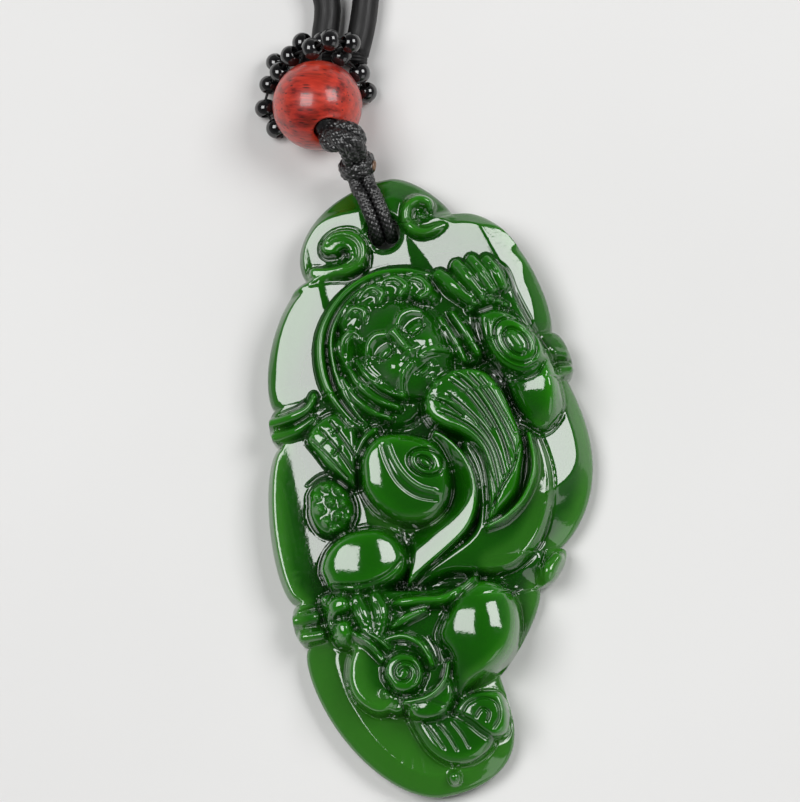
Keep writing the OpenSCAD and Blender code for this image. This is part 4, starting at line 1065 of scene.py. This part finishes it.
def inside(points, outline):
    """Which points lie inside a closed outline"""
    hit = np.zeros(len(points), bool)
    x, y = points.T
    for (x0, y0), (x1, y1) in zip(outline, np.roll(outline, -1, axis=0)):
        crosses = (y0 > y) != (y1 > y)
        hit ^= crosses & (x < (x1 - x0) * (y - y0) / (y1 - y0 + 1e-12) + x0)
    return hit


def boundary_of(outline, level):
    """A smooth closed line through an outline, moved from where it is seen to where it is"""
    closed = np.array(outline, float)
    fine = through(np.vstack([closed[-2:], closed, closed[:2]]), 5)[10:-10]
    fine[:, 1] -= LEAN * (level - LEAN_FROM)
    return fine


def from_boundary(points, fine, margin):
    """The points within a margin of an outline's box, their distance from it and which of them are inside"""
    here = np.where(((points > fine.min(0) - margin) & (points < fine.max(0) + margin)).all(1))[0]
    distance, _, _ = nearest(points[here], np.vstack([fine, fine[:1]]))
    return here, distance, inside(points[here], fine)


def cut_round(height, here, distance, within):
    """Cuts the line outside a boundary, and gives the points inside it with their distance"""
    near = np.clip(distance[~within] / CUT_WIDTH, 0, 1)
    height[here[~within]] -= CUT_DEPTH * (1 - near ** 2) ** 2
    return here[within], distance[within]


def add_mounds(points, height):
    """Each mound lifts the stone inside its boundary to a crest, with a rounded edge in a cut line"""
    for foot, top, shoulder, crest, outline in MOUNDS:
        if top == CUFF_TOP:
            add_scoop(points, height)
        level = top - 0.4
        lean = LEAN * (level - LEAN_FROM)
        here, distance = cut_round(height, *from_boundary(points, boundary_of(outline, level), CUT_WIDTH))
        cu, cv, left, right, down, up = crest
        du, dv = points[here, 0] - cu, points[here, 1] + lean - cv
        fall = (du / np.where(du < 0, left, right)) ** 2 + (dv / np.where(dv < 0, down, up)) ** 2
        t = np.clip(distance / shoulder, 0, 1)
        z = foot + np.maximum(top - fall - foot, 0.1) * np.sqrt(1 - (1 - t) ** 2)
        height[here] = np.maximum(height[here], z)


def add_scoop(points, height):
    """The hollow fold rises to its outer ridge and drops to its inner side beyond a smooth band"""
    level, crest, rise, drop, bottom, edge_drop = 7, 6.7, 0.25, 0.9, 4.6, 0.35
    lean = LEAN * (level - LEAN_FROM)
    boundary = boundary_of(SCOOP_RIDGE + SCOOP_INSIDE, level)
    here, _ = cut_round(height, *from_boundary(points, boundary, CUT_WIDTH))
    distance = nearest(points[here], through([(u, v - lean) for u, v in SCOOP_RIDGE], 5))[0]
    u, v = points[here, 0], points[here, 1] + lean
    band = 0.45 + 1.5 * ease(-0.5, -4.5, v) * ease(-4.5, -2.5, u)
    z = crest + rise * u - drop * np.clip(distance - band, 0, None) - edge_drop * ease(0.25, 0, distance)
    height[here] = np.maximum(z, bottom)


def add_face(points, height):
    """The round of the head that carries the face"""
    half_width, half_height, foot, rise = 4.4, 5.4, 5.6, 2.5
    t = math.radians(FACE_TILT)
    lean = LEAN * (8 - LEAN_FROM)
    du, dv = points[:, 0] - FACE_AT[0], points[:, 1] + lean - FACE_AT[1] + 0.4
    a, b = du * math.cos(t) + dv * math.sin(t), dv * math.cos(t) - du * math.sin(t)
    r = np.hypot(a / half_width, b / half_height)
    dome = foot + rise * np.sqrt(np.clip(1 - r ** 2.4, 0, 1))
    height[r < 1] = np.maximum(height[r < 1], dome[r < 1])


def carve(points, height, cuts):
    """Adds fine ridges and grooves, which fade out at the ends of their lines. The lines are drawn as seen
    from the camera, so points are the places that it sees"""
    for half, amount, rows in cuts:
        line = through(rows, 6)
        low, high = line.min(0) - half, line.max(0) + half
        here = np.where(((points > low) & (points < high)).all(1))[0]
        if not len(here):
            continue
        distance, _, share = nearest(points[here], line)
        fade = np.clip(np.minimum(share, 1 - share) * 10 + 0.25, 0, 1) if len(rows) > 1 else 1
        r = np.clip(distance / half, 0, 1)
        height[here] += amount * fade * (1 - r ** 2) ** 2


def soften(height, shape, times):
    """Averages each point with its four neighbours"""
    z = height.reshape(shape)
    for _ in range(times):
        padded = np.pad(z, 1, mode="edge")
        z = 0.5 * z + 0.125 * (padded[:-2, 1:-1] + padded[2:, 1:-1] + padded[1:-1, :-2] + padded[1:-1, 2:])
    return z.reshape(-1)


def blurred(height, shape, reach):
    """The height averaged three times over squares of points, reach to each side"""
    z = height.reshape(shape)
    for axis in (0, 1) * 3:
        pad = [(reach + 1, reach) if i == axis else (0, 0) for i in (0, 1)]
        sums = np.cumsum(np.pad(z, pad, mode="edge"), axis=axis)
        ahead = np.take(sums, range(2 * reach + 1, sums.shape[axis]), axis=axis)
        behind = np.take(sums, range(sums.shape[axis] - 2 * reach - 1), axis=axis)
        z = (ahead - behind) / (2 * reach + 1)
    return z.reshape(-1)


# The stone's front is a grid of this many parts, with closer rows in its two ends, thinned to fewer triangles
ACROSS, ALONG, END_L, END_ROWS = 330, 620, 1.6, 26
STONE_TRIANGLES = 188000


def row_heights():
    """v of each row of the stone's grid, closer together in its two rounded ends"""
    inset = 0.02 + (END_L - 0.02) * (np.arange(END_ROWS) / END_ROWS) ** 2
    straight = np.linspace(TOP_V - END_L, FOOT_V + END_L, ALONG - 2 * END_ROWS + 1)
    return np.r_[TOP_V - inset, straight, (FOOT_V + inset)[::-1]]


def back_at(v):
    """Height of the stone's back, which is cut away behind the head"""
    return 1.7 * ease(20.3, 21.2, v)


def edge_at(v):
    """Height of the top of the rim's wall"""
    return np.maximum(1.8, back_at(v) + 1.1)


def upper_share(v):
    """1 above the knots of the border and 0 below them"""
    return ease(8.6, 10.6, v)


def head_share(u, v):
    """1 on the stone's head and 0 below it, with a slanted border"""
    return ease(23.2, 24.4, v - 0.22 * u)


def fan_share(u, v):
    """1 on the fan at the stone's foot and 0 above it"""
    return 1 - ease(-17, -12, v + 0.25 * u)


def ramp_up(x, start, slope, soft=0.5):
    """0 before start, then a rise at the given slope, rounded where it begins"""
    return slope * 0.5 * (x - start + np.sqrt((x - start) ** 2 + soft ** 2))


def blend(first, second, share):
    """From first, at a share of 0, to second, at 1"""
    return first * (1 - share) + second * share


def ground_height(u, v):
    """The ground behind the carving, whose slopes to the left and to the right mirror the two lights"""
    left_fall, right_fall = 0.27, 0.36
    # beside the figure's head: both sides rise to the right, and the right one falls again beyond a fold
    upper_left = 3.9 + 0.25 * np.clip(u + 12.6, -3, 6.2)
    fold = 11.5 - 0.3 * (v - 20)
    upper_right = (3.5 + 0.14 * np.clip(u + 5, 0, 8)
                   + 0.14 * np.clip(np.minimum(u, fold) + 0.45 * (v - 22.4) - 4.2, 0, 7.5)
                   - ramp_up(u - fold, 0, right_fall, 0.1))
    upper = blend(upper_left, upper_right, ease(-6.5, -1, u))
    # beside the robe: a rise from each side, and level ground beside the creature
    middle = 3.7 + np.where(u < 0, ramp_up(u, -12.2, left_fall), ramp_up(-u, -14.9, right_fall))
    middle = blend(3.6, np.minimum(middle, 5.2), ease(-9.5, -5, v))
    fan = 2.75 + 0.02 * (u + 15) + 0.05 * (v + 30)
    head = 3.8 + 0.19 * np.clip(u + 6.5, 0, 5.5) + 0.17 * np.clip(u - 5.6, 0, 2.5)
    return blend(blend(blend(middle, upper, upper_share(v)), head, head_share(u, v)), fan, fan_share(u, v))


def chamfer_height(u, v, d):
    """The chamfer of the rim, d from the edge: its foot, lifted beside the figure's head, and its slope"""
    high, in_head, in_fan = upper_share(v), head_share(u, v), fan_share(u, v)
    right = ease(-2, 2, u)
    low_steep = blend(3.2, 1.1 - 0.45 * (1 - ease(-5, 0, v)), right)
    steep = blend(low_steep, blend(0.8 + 1.3 * ease(13, 21, v), 0.85, right), high)
    steep = blend(steep, blend(1.7, 0.75, ease(25, 27.5, v + 0.35 * u)), in_head)
    steep = blend(steep, 0.5, in_fan)
    lifted = 1.2 + right * (0.55 * ease(11.5, 13.5, v) + 0.42 * ease(17, 19.5, v)) * (1 - ease(21.5, 25, v))
    round_height, round_width = 0.3, 0.15
    return (edge_at(v) + lifted * high * (1 - in_head) + steep * d
            + round_height * (1 - np.exp(-d / round_width)))


def base_height(u, v, d):
    """The uncarved stone, d from its edge: the lower of its chamfer and its ground, rounded where they meet"""
    meeting = 0.04
    chamfer, ground = chamfer_height(u, v, d), ground_height(u, v)
    return 0.5 * (chamfer + ground - np.sqrt((chamfer - ground) ** 2 + meeting ** 2))


def stone_height(u, v, d):
    """The stone with its main forms, and the sunk edge of its hole"""
    sunk, sunk_width = 0.45, 0.5
    points = np.stack([u, v], 1)
    height = base_height(u, v, d)
    from_hole = np.hypot(u - MID[0] - HOLE[0], (v - MID[1]) * STRETCH - HOLE[1]) - HOLE_R
    height -= sunk * (1 - ease(0, sunk_width, from_hole))
    add_mounds(points, height)
    add_rolls(points, height)
    add_face(points, height)
    return height


def from_rim(u, v, left, right, rows_v):
    """Distance of each point from the outline"""
    ends = [np.stack([np.linspace(left[i], right[i], 40), np.full(40, rows_v[i])], 1) for i in (0, -1)]
    rim = np.vstack([through(np.stack([side, rows_v], 1), 2) for side in (left, right)] + ends)
    tree = kdtree.KDTree(len(rim))
    for i, (ru, rv) in enumerate(rim):
        tree.insert((ru, rv, 0), i)
    tree.balance()
    return np.array([tree.find((pu, pv, 0))[2] for pu, pv in zip(u, v)])


def thinness(u, v, d, height, seen):
    """How far light comes through the stone: at its rim, in the fan and along the pale edges"""
    low_sides = (1 - ease(6, 10, v)) * ease(-1, 1, np.abs(u + 1) - 8)
    thin = (1 - ease(0.6, 2.0, d)) * (0.35 + 0.5 * low_sides)
    thin = np.maximum(thin, 0.8 * fan_share(u, v) * (1 - ease(2.9, 4.2, height)))
    for amount, half, line in PALE_EDGES:
        distance = nearest(seen, through(line, 4))[0]
        thin = np.maximum(thin, amount * (1 - ease(0.3, 1, distance / half)))
    return thin


def carved_rows():
    """The carved front as rows of points: u, v, height, and how raised and how thin the stone is there"""
    rows_v = row_heights()
    left, right = side_of(LEFT_LOBES, rows_v, -1), side_of(RIGHT_LOBES, rows_v, 1)
    shape = (ALONG + 1, ACROSS + 1)
    v = np.repeat(rows_v, ACROSS + 1)
    share = np.tile(np.linspace(0, 1, ACROSS + 1), ALONG + 1)
    u = np.repeat(left, ACROSS + 1) * (1 - share) + np.repeat(right, ACROSS + 1) * share
    d = from_rim(u, v, left, right, rows_v)
    height = soften(stone_height(u, v, d), shape, 6)
    seen = np.stack([u, v + LEAN * (height - LEAN_FROM)], 1)
    carve(seen, height, CARVING)
    height = soften(height, shape, 1)
    at_rim = np.zeros(shape, bool)
    at_rim[[0, -1], :] = at_rim[:, [0, -1]] = True
    at_rim = at_rim.reshape(-1)
    height[at_rim] = edge_at(v)[at_rim]
    # crown is how far each point stands above its surroundings; the jade's colour follows it as painted shade
    # in hollows and painted light on raised forms
    crown = 0.5 + 0.42 * (height - blurred(height, shape, 6)) + 0.13 * (height - blurred(height, shape, 22))
    crown = np.clip(crown, 0, 1)
    thin = thinness(u, v, d, height, seen)
    return rows_v, left, right, [column.reshape(shape) for column in (u, v, height, crown, thin)]


def between(grid, row, column):
    """The grid's value between its points"""
    r0 = np.clip(np.floor(row).astype(int), 0, grid.shape[0] - 2)
    c0 = np.clip(np.floor(column).astype(int), 0, grid.shape[1] - 2)
    fr, fc = row - r0, column - c0
    return ((grid[r0, c0] * (1 - fc) + grid[r0, c0 + 1] * fc) * (1 - fr)
            + (grid[r0 + 1, c0] * (1 - fc) + grid[r0 + 1, c0 + 1] * fc) * fr)


# The wall below the rim: height as a share of the wall, and how far it draws in
WALL = ((0.72, 0.0), (0.3, 0.025), (0.08, 0.08), (0.0, 0.17))


def add_wall_and_back(mesh, place):
    """Extrudes the rim of the carved front to the stone's back, and closes the back row by row"""
    bm = bmesh.new()
    bm.from_mesh(mesh)
    across = bm.verts.layers.float.new("across")
    for vert, share in zip(bm.verts, place[:, 0]):
        vert[across] = share
    rim = [edge for edge in bm.edges if edge.is_boundary]
    for level, inset in WALL:
        made = bmesh.ops.extrude_edge_only(bm, edges=rim)
        rim = [e for e in made["geom"] if isinstance(e, bmesh.types.BMEdge)]
        for vert in {v for e in rim for v in e.verts}:
            rv = vert.co.y / MM / STRETCH + MID[1]
            top, bottom = edge_at(np.array([rv]))[0], back_at(np.array([rv]))[0]
            inward = -vert.co
            inward.z = 0
            vert.co += inward.normalized() * inset * MM
            vert.co.z = (bottom + (top - bottom) * level) * MM
    sides = [edge for edge in rim if abs(sum(vert[across] for vert in edge.verts) - 1) > 0.999]
    bmesh.ops.bridge_loops(bm, edges=sides)
    bmesh.ops.holes_fill(bm, edges=[edge for edge in bm.edges if edge.is_boundary], sides=0)
    bmesh.ops.triangulate(bm, faces=[f for f in bm.faces if len(f.verts) > 4])
    bmesh.ops.recalc_face_normals(bm, faces=bm.faces)
    bm.verts.layers.float.remove(across)
    put_in_order(bm)
    bm.to_mesh(mesh)
    bm.free()


def put_in_order(bm):
    """Sorts the edges and faces by their corners, so that the thinning gives the same result each run"""
    bm.verts.index_update()
    for parts in (bm.edges, bm.faces):
        parts.sort(key=lambda part: sum(math.sqrt(1 + vert.index) for vert in part.verts))


def keep_values(mesh, rows_v, left, right, height, crown, thin):
    """Gives each point of the thinned stone its crown and thinness, and plain ones off the carved front"""
    plain_crown, plain_thin, reach = 0.45, 0.3, 0.08
    x, y, z = points_of(mesh).T / MM
    pu, pv = x + MID[0], y / STRETCH + MID[1]
    row = np.interp(-pv, -rows_v, np.arange(len(rows_v)))
    low, high = np.interp(-pv, -rows_v, left), np.interp(-pv, -rows_v, right)
    column = np.clip((pu - low) / (high - low), 0, 1) * ACROSS
    on_front = np.abs(z - between(height, row, column)) < reach
    set_values(mesh, "crown", np.where(on_front, between(crown, row, column), plain_crown))
    set_values(mesh, "thin", np.where(on_front, between(thin, row, column), plain_thin))


def finish_faces(mesh):
    """Removes doubled faces at the drilled edge, and makes the edges of the flat back sharp"""
    sharp_angle, on_back = 0.45, -0.8
    bm = bmesh.new()
    bm.from_mesh(mesh)
    bmesh.ops.triangulate(bm, faces=bm.faces)
    twins = {}
    for face in bm.faces:
        twins.setdefault(frozenset(face.verts), []).append(face)
    doubled = [face for same in twins.values() if len(same) > 1 for face in same]
    bmesh.ops.delete(bm, geom=doubled, context="FACES")
    for edge in bm.edges:
        if len(edge.link_faces) == 2 and edge.calc_face_angle() > sharp_angle:
            edge.smooth = min(face.normal.z for face in edge.link_faces) > on_back
    bm.to_mesh(mesh)
    bm.free()


def thin_and_drill(stone):
    """Thins the stone's triangles and cuts the cord hole through it"""
    fewer = stone.modifiers.new("fewer", "DECIMATE")
    fewer.ratio = STONE_TRIANGLES / (2 * ACROSS * ALONG)
    bm = bmesh.new()
    bmesh.ops.create_cone(bm, cap_ends=True, segments=48, radius1=HOLE_R * MM, radius2=HOLE_R * MM,
                          depth=0.03)
    bmesh.ops.translate(bm, vec=Vector((*HOLE, 0)) * MM, verts=bm.verts)
    drill = bpy.data.objects.new("drill", as_mesh(bm, "drill"))
    scene.collection.objects.link(drill)
    cut = stone.modifiers.new("hole", "BOOLEAN")
    cut.operation = "DIFFERENCE"
    cut.solver = "EXACT"
    cut.object = drill
    bpy.context.view_layer.update()
    done = bpy.data.meshes.new_from_object(stone.evaluated_get(bpy.context.evaluated_depsgraph_get()))
    stone.modifiers.clear()
    stone.data = done
    bpy.data.objects.remove(drill)


def make_stone():
    rows_v, left, right, (u, v, height, crown, thin) = carved_rows()
    mesh, place = grid_mesh("carved_stone", ACROSS, ALONG)
    order = np.lexsort((place[:, 0], -place[:, 1]))
    points = np.zeros((len(place), 3))
    points[order] = np.stack([u - MID[0], (v - MID[1]) * STRETCH, height], 2).reshape(-1, 3) * MM
    set_points(mesh, points)
    add_wall_and_back(mesh, place)
    stone = new_piece("carved_stone", mesh, jade_paint(), "jade_pendant")
    thin_and_drill(stone)
    keep_values(stone.data, rows_v, left, right, height, crown, thin)
    finish_faces(stone.data)


make_stone()


# Metres from the middle of the view to each light
PANEL_DISTANCE = 0.6


def panel(name, off_axis, turn, width, height, power):
    """A flat soft light that faces the stone. off_axis is its angle from the camera, turn its direction round
    the picture, from the right and upward"""
    a, t = math.radians(off_axis), math.radians(turn)
    way = math.cos(a) * TO_CAMERA + math.sin(a) * (math.cos(t) * VIEW_RIGHT + math.sin(t) * VIEW_UP)
    data = bpy.data.lights.new(name, "AREA")
    data.shape = "RECTANGLE"
    data.size, data.size_y = width, height
    data.energy = power
    light = bpy.data.objects.new(name, data)
    at = AIM + way * PANEL_DISTANCE
    right = VIEW_UP.cross(way).normalized()
    light.matrix_world = facing(right, way.cross(right), way, at)
    scene.collection.objects.link(light)


# Greys of the studio's walls, from the table's height, 0, to straight above, 1
STUDIO_GREYS = ((0.0, 0.30), (0.3, 0.15), (0.7, 0.05), (1.0, 0.04))


def make_studio():
    """Plain grey surroundings that are palest at the table's height"""
    world = bpy.data.worlds.new("studio")
    world.use_nodes = True
    nodes, links = world.node_tree.nodes, world.node_tree.links
    way = nodes.new("ShaderNodeTexCoord")
    parts = nodes.new("ShaderNodeSeparateXYZ")
    fade = nodes.new("ShaderNodeValToRGB")
    while len(fade.color_ramp.elements) < len(STUDIO_GREYS):
        fade.color_ramp.elements.new(0.5)
    for element, (height, grey) in zip(fade.color_ramp.elements, STUDIO_GREYS):
        element.position = height
        element.color = (grey, grey, grey, 1)
    links.new(way.outputs["Generated"], parts.inputs["Vector"])
    links.new(parts.outputs["Z"], fade.inputs["Fac"])
    links.new(fade.outputs["Color"], nodes["Background"].inputs["Color"])
    scene.world = world


def make_table():
    """The pale table that the pendant lies on"""
    bm = bmesh.new()
    bmesh.ops.create_grid(bm, x_segments=1, y_segments=1, size=2)
    mesh = as_mesh(bm, "table")
    mesh.materials.append(floor_paint())
    table = bpy.data.objects.new("table", mesh)
    scene.collection.objects.link(table)


panel("left_panel", off_axis=32, turn=153, width=0.34, height=0.34, power=2.6)
panel("right_panel", off_axis=45, turn=36, width=0.27, height=0.30, power=2.0)
panel("front_fill", off_axis=58, turn=318, width=0.36, height=0.36, power=0.45)
make_studio()
make_table()
